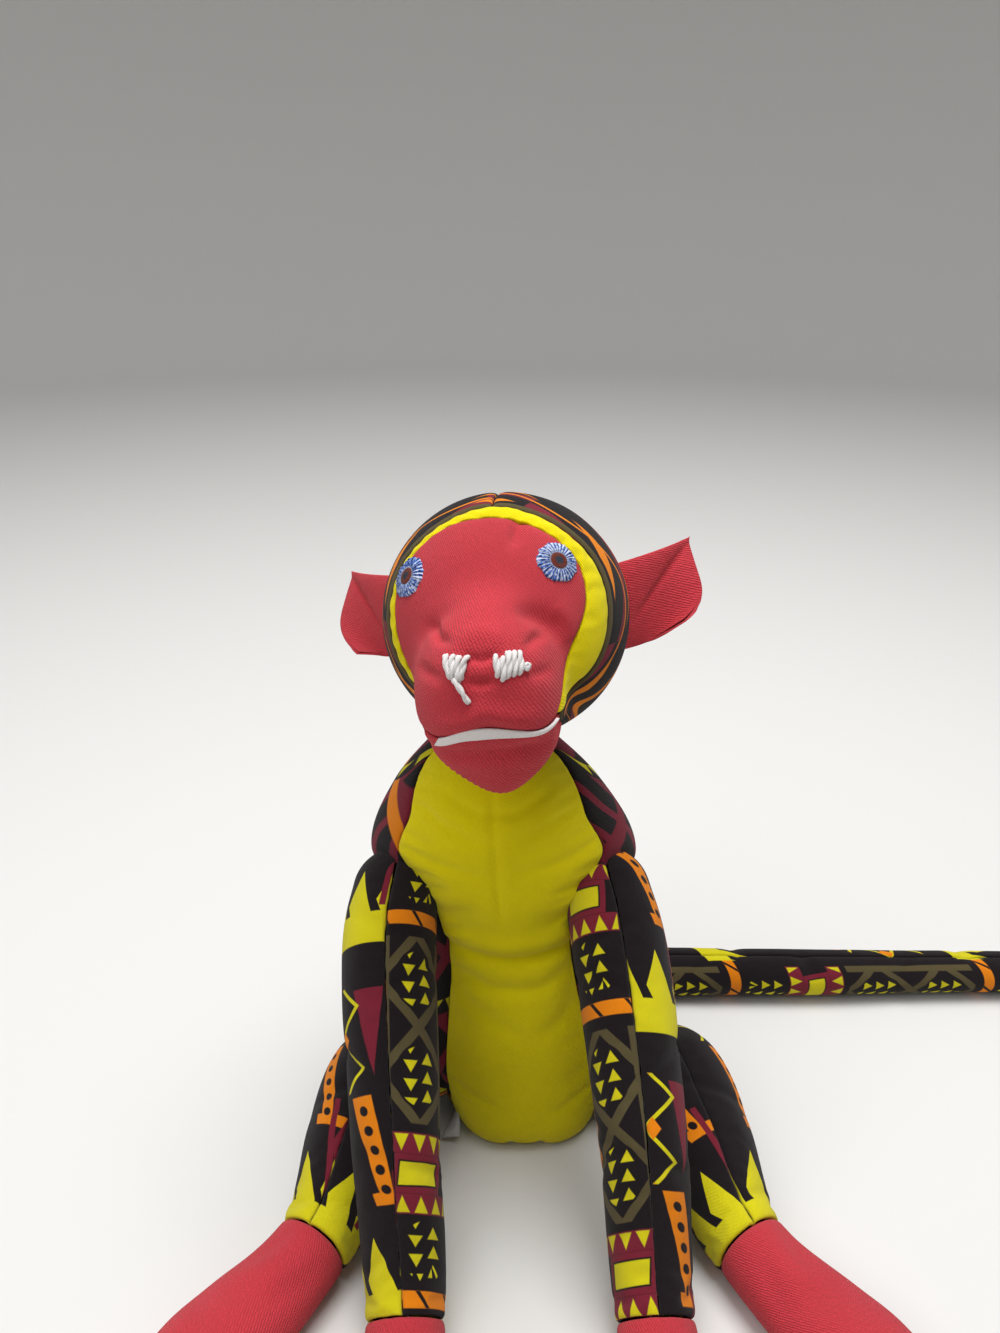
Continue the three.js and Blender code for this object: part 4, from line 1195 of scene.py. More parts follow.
    def build(self, room: Workroom, sockets: Sequence[Socket]) -> None:
        """Sews the yellow front, the two printed halves and the label.

        Args:
            room: Where pieces are made.
            sockets: Sockets of the limbs, where the cloth is open.
        """
        points = self.front_grid()
        panel = Panel(
            "belly_cloth", points, self.core(points), Hem(head=False),
            clear_of=sockets, pucker=0.22, creases=self.folds(),
        )
        room.place(room.cut(panel, floor=0.0), YELLOW_TWILL, "torso", ["belly_panel", "torso_stuffing"], FULL)
        for side in Side:
            points = self.back_grid(side)
            panel = Panel(
                f"back_{side.word}_cloth", points, self.core(points), Hem(head=False),
                clear_of=sockets, origin=(17 * side.value, 5),
            )
            room.place(room.cut(panel, floor=0.0), PRINTED_BACK, "torso", [f"back_panel_{side.word}"], FULL)
        self.sew_label(room)

    def sew_label(self, room: Workroom) -> None:
        """Blank ribbon caught in the seam beside the belly: upright there, then drooping and turning flat."""
        width, length, thickness = self.label
        angle = -self.front_angle(np.array(self.label_along))
        seam = self.point(np.array(self.label_along), angle)
        away = level(self.label_out, -1)
        up, beside = vec(0, 0, 1), vec(-away[1], away[0], 0)
        share = np.linspace(-0.1, 1, 14)
        centres = seam + np.outer(share * length, away) - np.outer(self.label_droop * share**2, up)
        turn = np.radians(self.label_twist) * np.clip(share, 0, 1)
        wide = np.outer(np.cos(turn), up) + np.outer(np.sin(turn), beside)
        thick = np.outer(np.cos(turn), beside) - np.outer(np.sin(turn), up)
        grid = strip(centres, wide, thick, width / 2 + 0 * share, thickness / 2)
        room.place(room.mesh("label_ribbon", [grid]), WHITE_RIBBON, "torso", ["sewn_label"])


def strip(centres: Array, wide: Array, thick: Array, half_width: Array, half_thickness: float) -> Patch:
    """A flat strip along a line, with rounded edges and closed ends.

    Args:
        centres: Points along its middle.
        wide: Unit directions across it.
        thick: Unit directions through it.
        half_width: Half its width at each point.
        half_thickness: Half its thickness.

    Returns:
        A closed grid, each row an oblong of the fourth power round one point.
    """
    turn = np.linspace(0, TAU, 17)
    bulge = (np.cos(turn) ** 4 + np.sin(turn) ** 4) ** -0.25
    x = (np.cos(turn) * bulge)[None, :, None] * (wide * half_width[:, None])[:, None]
    y = (np.sin(turn) * bulge)[None, :, None] * (thick * half_thickness)[:, None]
    ring = centres[:, None] + x + y
    points = np.concatenate([ring[:1] * 0 + centres[0], ring, ring[:1] * 0 + centres[-1]])
    v, u = lattice(run_along(points[:, 0]), turn * float(half_width.mean()))
    core = np.concatenate([centres[:1], centres, centres[-1:]])[:, None]
    return Patch(points * MM, np.stack([u, v], -1) * MM, True, (True, True), faces_away(points, core))


def beside_line(centres: Array, aside: Array) -> tuple[Array, Array]:
    """Two directions square to a line of points and to each other, the first towards a given side."""
    ahead = unit(np.gradient(centres, axis=0))
    first = unit(aside - (aside * ahead).sum(-1, keepdims=True) * ahead)
    return first, np.cross(ahead, first)


def tube(centres: Array, aside: Array, radius: Array) -> Patch:
    """A round thread along a line, closed to a point at both ends.

    Args:
        centres: Points along its middle.
        aside: A direction away from the line at each point.
        radius: Its radius at each point.

    Returns:
        A closed grid whose rows are circles across the line.
    """
    first, second = beside_line(centres, aside)
    turn = np.linspace(0, TAU, 9)
    ring = np.cos(turn)[None, :, None] * first[:, None] + np.sin(turn)[None, :, None] * second[:, None]
    points = centres[:, None] + ring * radius[:, None, None]
    v, u = lattice(run_along(centres), turn * float(radius.max()))
    return Patch(points * MM, np.stack([u, v], -1) * MM, True, (True, True), False)


def yarn(centres: Array, aside: Array, radius: float, pitch: float = 8.0) -> list[Patch]:
    """Two twisted plies along a line: each circles it once in a pitch, and thins at its ends."""
    run = run_along(centres)
    first, second = beside_line(centres, aside)
    end = np.minimum(run, run[-1] - run) / radius
    taper = np.sqrt(np.clip(1 - (1 - np.minimum(end, 1)) ** 2, 0, 1))
    plies = []
    for start in (0.0, pi):
        turn = (TAU * run / pitch + start)[:, None]
        line = centres + 0.36 * radius * (np.cos(turn) * first + np.sin(turn) * second)
        plies.append(tube(line, aside, 0.74 * radius * taper))
    return plies


@dataclass
class Limb:
    """A stuffed limb: a ball round its pivot, then a tube along a path, closed by a round tip."""

    points: Sequence[Array]
    sideways: Array
    root: float
    widths: Stations
    heights: Stations
    tip: float
    ball_share: float = 0.0

    def __post_init__(self) -> None:
        """Measures the path and finds where the ball ends."""
        self.path = SoftCurve(self.points)
        self.length = self.path.length
        self.ball_end = self.ball_share * self.root
        self.neck = sqrt(self.root**2 - self.ball_end**2)

    def point(self, along: Array, angle: Array) -> Array:
        """Points of the form: round the path, at half widths and half heights that follow stations along it.

        Args:
            along: Distance along the path from the pivot, below 0 behind it.
            angle: Angle round the path.

        Returns:
            Points, none lower than the ground.
        """
        ahead = self.path.heading(np.clip(along, 0, self.length))
        centre = self.path.along(along) + ahead * np.minimum(along, 0)[..., None]
        across = unit(self.sideways - (ahead @ self.sideways)[..., None] * ahead)
        over = np.cross(across, ahead)
        ball = np.sqrt(np.maximum(self.root**2 - along**2, 0))
        tip = np.sqrt(np.maximum(1 - np.maximum((along - self.length) / self.tip + 1, 0) ** 2, 0))
        on_ball = along < self.ball_end
        half_width, half_height = (
            np.where(on_ball, ball, smooth_value([(self.ball_end, self.neck), *sizes], along) * tip)
            for sizes in (self.widths, self.heights)
        )
        wide = across * (half_width * np.sin(angle))[..., None]
        points = centre + wide + over * (half_height * np.cos(angle))[..., None]
        points[..., 2] = np.maximum(points[..., 2], GROUND_GAP)
        return points

    def grid(self, rows: Array, columns: int, start: float, turn: float) -> tuple[Array, Array]:
        """Points over part of the way round, from a start angle through a turn, and points on the path."""
        u, v = lattice(rows, np.linspace(start, start + turn, columns))
        return self.point(u, v), self.path.along(u)

    def fold(
        self, along: float, slant: float, middle: float, half_turn: float, width: float, depth: float
    ) -> Crease:
        """A crease part of the way round the limb, further along at one end than the other.

        Args:
            along: Distance along the path at its middle.
            slant: How much further along its second end lies.
            middle: Angle of its middle.
            half_turn: Angle from its middle to each end.
            width: Its width.
            depth: Its depth.

        Returns:
            The crease.
        """
        share = np.linspace(-1, 1, 7)
        return Crease(self.point(along + slant * share, middle + half_turn * share), width, depth)

    def bend(self, body: str, before: float, past: float) -> Bend:
        """How its cloth crosses from the torso to its own body, by lengths before and past the pivot."""
        ahead = self.path.heading(np.array(0.0))
        return Bend("torso", body, self.points[0] - before * ahead, self.points[0] + past * ahead)

    def sew(
        self,
        room: Workroom,
        bend: Bend,
        halves: Sequence[str],
        rows: Array,
        columns: int,
        origins: Sequence[Pair],
        creases: Sequence[Crease],
        cuff: bool = True,
    ) -> None:
        """Sews the two printed halves. The first of them stands for the stuffing too.

        Args:
            room: Where pieces are made.
            bend: How they cross the joint.
            halves: Their names.
            rows: Places along the path, from the root on.
            columns: How many points lie from seam to seam.
            origins: Where each starts in the print.
            creases: Their folds.
            cuff: Whether they end at a cuff, from which the print is measured, or else at a closed tip.
        """
        step = -1 if cuff else 1
        for k, (half, origin) in enumerate(zip(halves, origins)):
            points, core = self.grid(rows, columns, k * pi, pi)
            name = f"{bend.moved}_{half}"
            panel = Panel(
                f"{name}_cloth", points[::step], core[::step], Hem(foot=cuff, head=False),
                poles=(False, not cuff), origin=origin, creases=creases,
            )
            nodes = [name] + ([f"{bend.moved}_stuffing"] if k == 0 else [])
            room.place(room.cut(panel), PRINTED_LIMB, bend, nodes, FULL)


def level(out_deg: float, side: int = 1) -> Array:
    """A level direction, turned outwards from straight ahead."""
    return vec(side * sin(radians(out_deg)), -cos(radians(out_deg)), 0)


class PairedLimb:
    """What an arm and a leg share: two printed halves from the joint to the cuff, and a red hand or foot.

    The cloth starts some way behind the pivot. Origins are where each half starts in the print. Sizes and
    folds are each limb's own.
    """

    kind: str
    end: str
    behind: float
    grid: tuple[int, int]
    end_grid: tuple[int, int]
    origins: dict[Side, tuple[Pair, Pair]]

    def shape(self, points: Array, sideways: Array) -> None:
        """Sets pivot, cuff and form from the points of the path and the direction across it."""
        self.pivot = points[0]
        length = SoftCurve(points).length
        self.cuff = length - self.end_length
        sleeve = [(self.swell_from, self.radius), (self.cuff, self.cuff_radius)]
        widths, heights = ([*sleeve, (length - self.end_tip, half)] for half in self.end_half)
        self.form = Limb(points, sideways, self.root, widths, heights, self.end_tip)

    def end_folds(self) -> list[Crease]:
        """Folds of the hand or foot."""
        return []

    def build(self, room: Workroom) -> None:
        """Sews the two halves, and the hand or foot."""
        form, word = self.form, self.side.word
        bend = form.bend(f"{self.kind}_{word}", before=2, past=22)
        root = np.linspace(-self.behind, 0, 7)[:-1]
        rows = np.concatenate([root, np.linspace(0, self.cuff, self.grid[0])])
        halves = self.side.pick(("outer", "inner"), ("inner", "outer"))
        form.sew(room, bend, halves, rows, self.grid[1], self.origins[self.side], self.folds())
        share = np.sin(np.linspace(0, pi / 2, self.end_grid[0]))
        points, core = form.grid(self.cuff + (form.length - self.cuff) * share, self.end_grid[1], 0, TAU)
        end = f"{self.end}_{word}"
        panel = Panel(
            f"{end}_cloth", points, core, Hem(head=False), closed=True, poles=(False, True),
            seam_depth=0.3, creases=self.end_folds(),
        )
        room.place(room.cut(panel), RED_TWILL, bend.moved, [end], FULL)


@dataclass
class Arm(PairedLimb):
    """An arm with its hand, reaching forward and down to the ground."""

    kind = "arm"
    end = "hand"
    behind = 11
    grid = (72, 28)
    end_grid = (28, 48)
    origins = {Side.LEFT: ((22, 30), (13, 30)), Side.RIGHT: ((-13, 0), (50, 0))}

    torso: Torso
    side: Side
    along: float = 0.53
    round_deg: float = 57
    root: float = 16
    heading_out: float = 9
    heading_down: float = 30
    swell_from: float = 26
    radius: float = 16.4
    elbow: Triple = (0, -3, 2)
    cuff_radius: float = 13
    end_half: Pair = (15, 11)
    end_length: float = 45
    end_tip: float = 22.5
    reach: float = 97
    wrist_out: float = 0.2
    inset_left: float = 3.0

    def __post_init__(self) -> None:
        """Lays the path from the shoulder over the elbow to the finger tips."""
        base = self.torso.root(self.along, self.round_deg)
        down = radians(self.heading_down)
        heading = level(self.heading_out) * cos(down) - vec(0, 0, sin(down))
        wrist = vec(base[0] + self.wrist_out, base[1] - self.reach, self.cuff_radius + GROUND_GAP)
        knuckle = base + heading * self.root
        elbow = (knuckle + wrist) / 2 + vec(*self.elbow)
        tip = wrist + vec(0, -self.end_length, self.end_half[1] - self.cuff_radius)
        points = np.array([base, knuckle, elbow, wrist, tip])
        points[:, 0] = self.side.value * points[:, 0] + self.torso.middle(points[:, 2])
        points[:2, 0] -= self.side.pick(self.inset_left, 0)
        self.shape(points, vec(1, 0, 0))

    def folds(self) -> list[Crease]:
        """Folds at the shoulder and inside the elbow."""
        s = self.side.value
        table = (
            (17, 5 * s, pi, 0.9, 2.0, 1.0),
            (34, -6 * s, pi + 0.5 * s, 0.8, 2.2, 0.9),
            (60, 7 * s, pi - 0.8 * s, 0.8, 2.4, 0.9),
            (88, -5, pi, 1.0, 2.6, 0.6),
        )
        return [self.form.fold(*row) for row in table]


@dataclass
class Leg(PairedLimb):
    """A leg with its foot, lying on the ground and splayed."""

    kind = "leg"
    end = "foot"
    behind = 12
    grid = (50, 34)
    end_grid = (38, 54)
    origins = {Side.LEFT: ((22, 0), (52, 0)), Side.RIGHT: ((20, 0), (50, 0))}

    torso: Torso
    side: Side
    along: float = 0.16
    round_deg: float = 70
    root: float = 16
    heading_out: float = 58
    swell_from: float = 21.5
    radius: float = 22
    thigh_sag: float = 2
    thigh_share: float = 0.45
    cuff_radius: float = 13.5
    end_half: Pair = (17.5, 13.5)
    end_length: float = 75
    end_tip: float = 31.5
    length: float = 83
    splay: float = 24
    foot_splay: float = 38

    def __post_init__(self) -> None:
        """Lays the path from the hip over the thigh to the toes."""
        base = self.torso.root(self.along, self.round_deg)
        root = base + level(self.heading_out) * self.root
        ankle = base + level(self.splay) * self.length
        ankle[2] = self.cuff_radius + GROUND_GAP
        thigh = root + (ankle - root) * self.thigh_share
        thigh[2] = self.radius - self.thigh_sag
        toe = ankle + level(self.foot_splay) * self.end_length
        toe[2] = self.end_half[1]
        points = np.array([base, root, thigh, ankle, toe]) * vec(self.side.value, 1, 1)
        turn = radians(self.splay)
        self.shape(points, vec(cos(turn), self.side.value * sin(turn), 0))

    def folds(self) -> list[Crease]:
        """Folds over the thigh and above the cuff."""
        s = self.side.value
        table = (
            (16, 4 * s, pi, 0.9, 2.4, 1.1),
            (40, -5 * s, pi - 0.4 * s, 0.8, 2.6, 0.8),
            (self.cuff - 9, 3, pi, 0.9, 2.0, 0.6),
        )
        return [self.form.fold(*row) for row in table]

    def end_folds(self) -> list[Crease]:
        """Shallow folds that run from the cuff down the foot, and a dimple across its top."""
        s = self.side.value
        table = (
            (14, 10, pi - 0.5 * s, 0.25, 4.0, 1.3),
            (18, 9, pi + 0.7 * s, 0.3, 3.6, 1.1),
            (30, -4 * s, pi + 0.1 * s, 0.8, 5.0, 1.2),
            (44, 6 * s, pi - 0.4 * s, 0.6, 4.5, 0.9),
        )
        return [self.form.fold(self.cuff + past, *row) for past, *row in table]


@dataclass
class Tail:
    """A long tail that lies on the ground behind the toy."""

    torso: Torso
    along: float = 0.085
    root: float = 9
    heading: float = 45
    swell_from: float = 12.6
    radius: float = 11
    tip_radius: float = 9
    length: float = 300
    bend: float = 45
    stand_off: float = 14
    drift: float = 4
    behind: float = 5.5

    def __post_init__(self) -> None:
        """Lays the path from the torso round to the toy's left."""
        base = self.torso.root(self.along, 180)
        lie = self.radius + GROUND_GAP
        behind = base[1] + self.stand_off
        root = base + level(180 - self.heading) * self.root
        bend = vec(self.bend, behind, lie)
        middle = vec(self.bend + (self.length - self.bend) * 0.4, behind + self.drift / 4, lie)
        end = vec(self.length, behind + self.drift, self.tip_radius + GROUND_GAP)
        points = np.array([base, root, bend, middle, end])
        self.pivot = points[0]
        total = SoftCurve(points).length
        sizes = [(self.swell_from, self.radius), (total, self.tip_radius)]
        self.form = Limb(points, vec(0, 1, 0), self.root, sizes, sizes, 2 * self.tip_radius, ball_share=0.62)

    def folds(self) -> list[Crease]:
        """Soft folds across the tail, here and there along its upper side."""
        table = (
            (40, 5, 0.7, 3.0, 1.4),
            (84, -6, 0.9, 3.4, 1.3),
            (104, 5, -0.6, 3.0, 1.1),
            (138, 4, 0.5, 3.0, 1.2),
            (182, -5, 0.9, 3.4, 1.3),
            (214, 5, -0.4, 3.0, 1.1),
            (246, 6, 0.6, 3.0, 1.2),
        )
        return [self.form.fold(along, slant, pi + turn, 0.8, *size) for along, slant, turn, *size in table]

    def build(self, room: Workroom) -> None:
        """Sews the two halves of the tail."""
        form = self.form
        start = form.length - form.tip
        tip = start + form.tip * np.sin(np.linspace(0, pi / 2, 12))[1:]
        root = np.linspace(-self.behind, form.ball_end, 6)[:-1]
        rows = np.concatenate([root, np.linspace(form.ball_end, start, 130), tip])
        bend = form.bend("tail", before=3, past=20)
        origins = ((30, 20), (70, 20))
        form.sew(room, bend, ("rear", "front"), rows, 20, origins, self.folds(), cuff=False)


@dataclass
class Head:
    """The head: a skull with a broad muzzle and a chin, in face, border, chin and two halves of the hood."""

    torso: Torso
    half: Triple = (41, 42, 41)
    muzzle: float = 21
    muzzle_drop: float = radians(23)
    muzzle_spread_left: float = radians(25)
    muzzle_spread_right: float = radians(29.5)
    muzzle_rise: float = radians(38)
    muzzle_fall: float = radians(34)
    chin: float = 6.5
    chin_drop: float = radians(58)
    chin_spread: float = radians(10)
    chin_rise: float = radians(16)
    sink: float = 16
    forward: float = 11
    aside: float = 4.9
    turn: float = radians(-6)
    tilt: float = radians(-5.5)
    lift: float = radians(10)
    corner: float = 136
    neck_gap: float = 0.8
    face_left: Stations = (
        (0, 60.8), (20, 59), (41, 57.2), (54, 54.6), (66, 49.8), (78, 43.8), (88, 38),
        (100, 34.2), (114, 32.4), (126, 31.6), (136, 30.2), (158, 21), (180, 18),
    )
    face_right: Stations = (
        (0, 60.8), (20, 62.2), (40, 61.2), (57, 59.6), (71, 55.4), (85, 51),
        (100, 47.2), (114, 43.6), (126, 38.6), (136, 32.2), (158, 22.2), (180, 18),
    )
    hood_left: Stations = (
        (0, 69.6), (20, 67), (40, 65.4), (55, 64.8), (70, 62.2),
        (85, 58.4), (100, 54), (115, 48.5), (127, 41.5), (136, 34.2),
    )
    hood_right: Stations = (
        (0, 69.6), (20, 67.6), (40, 65.6), (55, 64), (70, 61.2),
        (85, 57.4), (100, 53.2), (115, 48.4), (127, 41.5), (136, 34.4),
    )
    chin_stations: Stations = ((136, 34.5), (152, 58), (180, 76))

    def __post_init__(self) -> None:
        """Places the head on the neck: turned about X, then Z, then Y."""
        t = self.torso
        self.centre = t.neck_centre + vec(self.aside, -self.forward, t.neck_radius + self.half[2] - self.sink)
        self.turned = turn_about(1, self.tilt) @ turn_about(2, self.turn) @ turn_about(0, -self.lift)

    def reach(self, direction: Array) -> Array:
        """Distance of the surface along unit directions: an oval skull, with bells at the muzzle and chin."""
        x, y, z = np.moveaxis(direction, -1, 0)
        skull = 1 / np.sqrt((x / self.half[0]) ** 2 + (y / self.half[1]) ** 2 + (z / self.half[2]) ** 2)
        sideways = np.arctan2(x, np.hypot(y, z))
        upwards = np.arctan2(z, -y)
        above = upwards + self.muzzle_drop
        spread = (sideways / np.where(sideways > 0, self.muzzle_spread_left, self.muzzle_spread_right)) ** 2
        spread = spread + (above / np.where(above > 0, self.muzzle_rise, self.muzzle_fall)) ** 2
        tip = (sideways / self.chin_spread) ** 2 + ((upwards + self.chin_drop) / self.chin_rise) ** 2
        return skull + self.muzzle * np.exp(-(spread**2)) + self.chin * np.exp(-tip)

    @staticmethod
    def direction(off: Array, around: Array) -> Array:
        """Unit directions from degrees off the face axis and degrees round it from the top."""
        o, r = np.radians(off), np.radians(around)
        return np.stack([np.sin(o) * np.sin(r), -np.cos(o), np.sin(o) * np.cos(r)], -1)

    def past(self, points: Array) -> Array:
        """How far points in the head's own axes lie past its surface, on lines from its middle."""
        return np.linalg.norm(points, axis=-1) - self.reach(unit(points))

    def outward(self, points: Array) -> Array:
        """Unit outward directions at points in the head's own axes: the slope of their distance past it."""
        steps = 0.05 * np.eye(3)
        return unit(np.stack([self.past(points + step) - self.past(points - step) for step in steps], -1))

    def raised(self, direction: Array, height: Array) -> Array:
        """Points in the frame over unit directions in the head's own axes, at a height above its surface."""
        points = direction * self.reach(direction)[..., None]
        points = points + self.outward(points) * np.asarray(height)[..., None]
        return self.world(points)

    def world(self, points: Array) -> Array:
        """Points in the head's own axes, moved to their place in the frame."""
        return points @ self.turned.T + self.centre

    def surface(self, off: Array, around: Array) -> Array:
        """Points on the head, in the frame."""
        d = self.direction(off, around)
        return self.world(d * self.reach(d)[..., None])

    def beside(self, off: float, around: float, x: Array, z: Array) -> Array:
        """Unit directions beside one on the face, by millimetres to the toy's left and upwards."""
        middle = self.direction(np.array(off), np.array(around))
        left = unit(np.cross(vec(0, 0, 1), middle))
        up = np.cross(middle, left)
        return unit(middle * self.reach(middle) + x[..., None] * left + z[..., None] * up)

    def flat(self, off: Array, around: Array) -> tuple[Array, Array]:
        """Cloth coordinates over the face: distance from its axis laid out flat at each angle round it."""
        away = np.radians(off) * 1.2 * self.half[1]
        return away * np.sin(np.radians(around)), away * np.cos(np.radians(around))

    @staticmethod
    def sided(left: Stations, right: Stations, around: Array) -> Array:
        """Value of one curve on the toy's left and of another on its right."""
        turn = np.abs(around)
        return np.where(around > 0, smooth_value(left, turn), smooth_value(right, turn))

    def face_edge(self, around: Array) -> Array:
        """Edge of the face, in degrees off its axis, sewn off centre towards the toy's right."""
        return self.sided(self.face_left, self.face_right, around)

    def hood_edge(self, around: Array) -> Array:
        """Edge of the hood: round the border on the cheeks, and round the chin below the mouth."""
        chin = smooth_value(self.chin_stations, np.abs(around))
        cheek = self.sided(self.hood_left, self.hood_right, around)
        return np.where(np.abs(around) > self.corner, chin, cheek)

    def on_face(self, *places: Pair) -> list[Array]:
        """Points on the head from pairs of degrees off the face axis and round it."""
        return [self.surface(np.array(off), np.array(around)) for off, around in places]

    def mouth_line(self, around: Array) -> tuple[Array, Array]:
        """Degrees off the axis and round it, signed, along the mouth for angles that run on past 180."""
        turned = np.where(around > 180, around - 360, around)
        return self.face_edge(turned), turned

    def along_mouth(self, shift: float) -> list[Array]:
        """Points on the head along the mouth, shifted by degrees off the face axis."""
        around = np.linspace(140, 220, 5)
        return self.on_face(*zip(self.mouth_line(around)[0] + shift, around))

    def face_folds(self) -> list[Crease]:
        """Folds of the face, as width, depth and places: forehead dart, cheeks, nose puckers, upper lip."""
        table = (
            (1.5, 2.4, ((61, 15), (53, 15), (44, 15))),
            (3.4, 2.6, ((17, 38), (22, 58), (27, 76), (30, 92))),
            (4.0, -1.3, ((32, 60), (33, 78), (33, 94))),
            (3.6, 1.6, ((19, -36), (23, -56), (27, -74), (29, -90))),
            (1.7, 1.9, ((11, -62), (16, -68), (23, -66), (28, -70))),
            (1.7, 1.5, ((12, -112), (17, -102), (24, -100))),
            (1.7, 1.5, ((13, 78), (18, 76), (23, 80))),
            (1.7, 1.0, ((13, 112), (18, 108), (22, 108))),
            (1.4, 1.6, ((5, -70), (1, 0), (5, 70))),
            (1.5, 1.5, ((6, -140), (5, 180), (6, 140))),
            (3.0, -1.0, ((9, -50), (8, 0), (9, 50))),
        )
        folds = [Crease(self.on_face(*places), width, depth) for width, depth, places in table]
        return [*folds, Crease(self.along_mouth(-5.5), 3.2, -1.9)]

    def build(self, room: Workroom) -> None:
        """Sews the face, its border, the chin and the hood."""
        neck = Socket(self.torso.neck_centre, self.torso.neck_radius + self.neck_gap)
        self.sew_face(room)
        self.sew_border(room)
        self.sew_chin(room, neck)
        self.sew_hood(room, neck)

    def sew_face(self, room: Workroom) -> None:
        """The face: rings about its axis out to the border and the mouth."""
        u, v = lattice(np.linspace(0, 1, 44), np.linspace(-180, 180, 121))
        off = u * self.face_edge(v)
        panel = Panel(
            "face_cloth", self.surface(off, v), self.centre, Hem(foot=False), closed=True,
            poles=(True, False), creases=self.face_folds(), pucker=0.2, flat=self.flat(off, v),
        )
        room.place(room.cut(panel), RED_TWILL, "head", ["face_panel", "head_stuffing"], FIRM)

    def sew_border(self, room: Workroom) -> None:
        """The band round the face, from one corner of the mouth to the other."""
        end = self.corner - 0.5
        u, v = lattice(np.linspace(0, 1, 10), np.linspace(-end, end, 140))
        edge = self.face_edge(v)
        off = edge + u * (self.hood_edge(v) - edge)
        panel = Panel(
            "face_border_cloth", self.surface(off, v), self.centre,
            pucker=0.14, seam_width=1.3, cap=0.8, flat=self.flat(off, v),
        )
        room.place(room.cut(panel), YELLOW_TWILL, "head", ["face_border"], SOFT)

    def sew_chin(self, room: Workroom, neck: Socket) -> None:
        """The chin: from the mouth down to the hood, hollow under the mouth and gathered towards its tip."""
        start = self.corner + 0.5
        u, v = lattice(np.linspace(0, 1, 30), np.linspace(start, 360 - start, 200))
        lip, turned = self.mouth_line(v)
        off = lip + u * (self.hood_edge(turned) - lip)
        points = self.surface(off, turned)
        across = run_along(points, axis=1)
        inside = smooth_step((30 - np.abs(v - 180)) / 14)
        gathers = 0.42 * np.sin(TAU * across / 2.1) * smooth_step((u - 0.3) / 0.2) * inside
        panel = Panel(
            "chin_cloth", points, self.centre, seat=neck, creases=[Crease(self.along_mouth(8), 3.0, 2.2)],
            ribs=gathers, pressure=0.6, flat=self.flat(off, turned),
        )
        room.place(room.cut(panel), RED_TWILL, "head", ["chin_panel"], SOFT)

    def sew_hood(self, room: Workroom, neck: Socket) -> None:
        """The two halves of the hood, from their edge round the face to the back of the head."""
        u, v = lattice(np.linspace(0, 1, 48), np.linspace(0, 180, 64))
        edge = self.hood_edge(v)
        for side in Side:
            points = self.surface(edge + u * (180 - edge), side.value * v)
            panel = Panel(
                f"hood_{side.word}_cloth", points, self.centre, Hem(head=False), seat=neck,
                poles=(False, True), origin=(23 * side.value, 0),
            )
            room.place(room.cut(panel), PRINTED_HOOD, "head", [f"hood_{side.word}"], FIRM)


@dataclass
class Mouth:
    """A felt strip along the mouth, pointed at the toy's left corner and blunt at its right."""

    head: Head
    inset_left: float = 1
    inset_right: float = 11
    half_width: float = 0.35
    widening: float = 2.05
    half_thickness: float = 0.5
    drop: float = 2.2
    upturn: float = 2.0
    upturn_at: float = 0.84
    upturn_spread: float = 0.16

    def build(self, room: Workroom) -> None:
        """Lays the strip along the seam of face and chin, dropping below it and turned up near its end."""
        head = self.head
        share = np.linspace(0, 1, 40)
        around = np.linspace(head.corner + self.inset_left, 360 - head.corner - self.inset_right, 40)
        off, turned = head.mouth_line(around)
        upturn = self.upturn * np.exp(-(((share - self.upturn_at) / self.upturn_spread) ** 2))
        off = off + self.drop * share - upturn
        middle, lower = (head.raised(head.direction(o, turned), 0 * o + FACE_GAP) for o in (off, off + 0.5))
        wide = unit(lower - middle)
        thick = unit(np.cross(unit(np.gradient(middle, axis=0)), wide))
        half_width = self.half_width + self.widening * np.sqrt(share)
        grid = strip(middle, wide, thick, half_width, self.half_thickness)
        room.place(room.mesh("mouth_felt", [grid]), WHITE_FELT, "head", ["mouth_strip"])


@dataclass
class Eye:
    """An embroidered eye: a low round pad of threads that run outwards, with an uneven rim.

    Places are degrees off the face axis and round it, for the toy's left and right.
    """

    head: Head
    side: Side
    radius: float = 6.8
    height: float = 0.9
    places: tuple[Pair, Pair] = ((46.6, 43), (51.5, -53))
    threads: int = 30
    thread_height: float = 0.16
    rim_jag: float = 0.06
    rim_drop: float = 1.2
    groove: float = 0.35
    groove_at: float = 0.42
    groove_spread: float = 0.05

    def build(self, room: Workroom) -> None:
        """Stitches the pad: rings about its middle, ridged along the threads and thinner at the rim."""
        off, around = self.side.pick(*self.places)
        share, turn = lattice(np.linspace(0, 1, 22), np.linspace(0, TAU, 8 * self.threads + 1))
        rng = np.random.default_rng(5 + self.side.value)
        reach = rng.uniform(-1, 1, self.threads)
        jag = np.interp(np.mod(turn, TAU), np.arange(self.threads) * TAU / self.threads, reach, period=TAU)
        radius = self.radius * share * (1 + self.rim_jag * jag * smooth_step((share - 0.6) / 0.4))
        x, z = radius * np.cos(turn), radius * np.sin(turn)
        ridge = np.cos(self.threads * turn) * smooth_step((share - 0.36) / 0.1)
        crown = FACE_GAP + self.height * (1 - share**3) + self.thread_height * ridge
        crown = crown - self.rim_drop * smooth_step((share - 0.94) / 0.06)
        crown = crown - self.groove * np.exp(-(((share - self.groove_at) / self.groove_spread) ** 2))
        points = self.head.raised(self.head.beside(off, around, x, z), crown)
        uv = np.stack([turn * self.radius, radius], -1)
        word = self.side.word
        patch = Patch(points * MM, uv * MM, True, (True, False), faces_away(points, self.head.centre))
        room.place(room.mesh(f"eye_{word}_stitches", [patch]), EYE_THREAD, "head", [f"eye_{word}"])


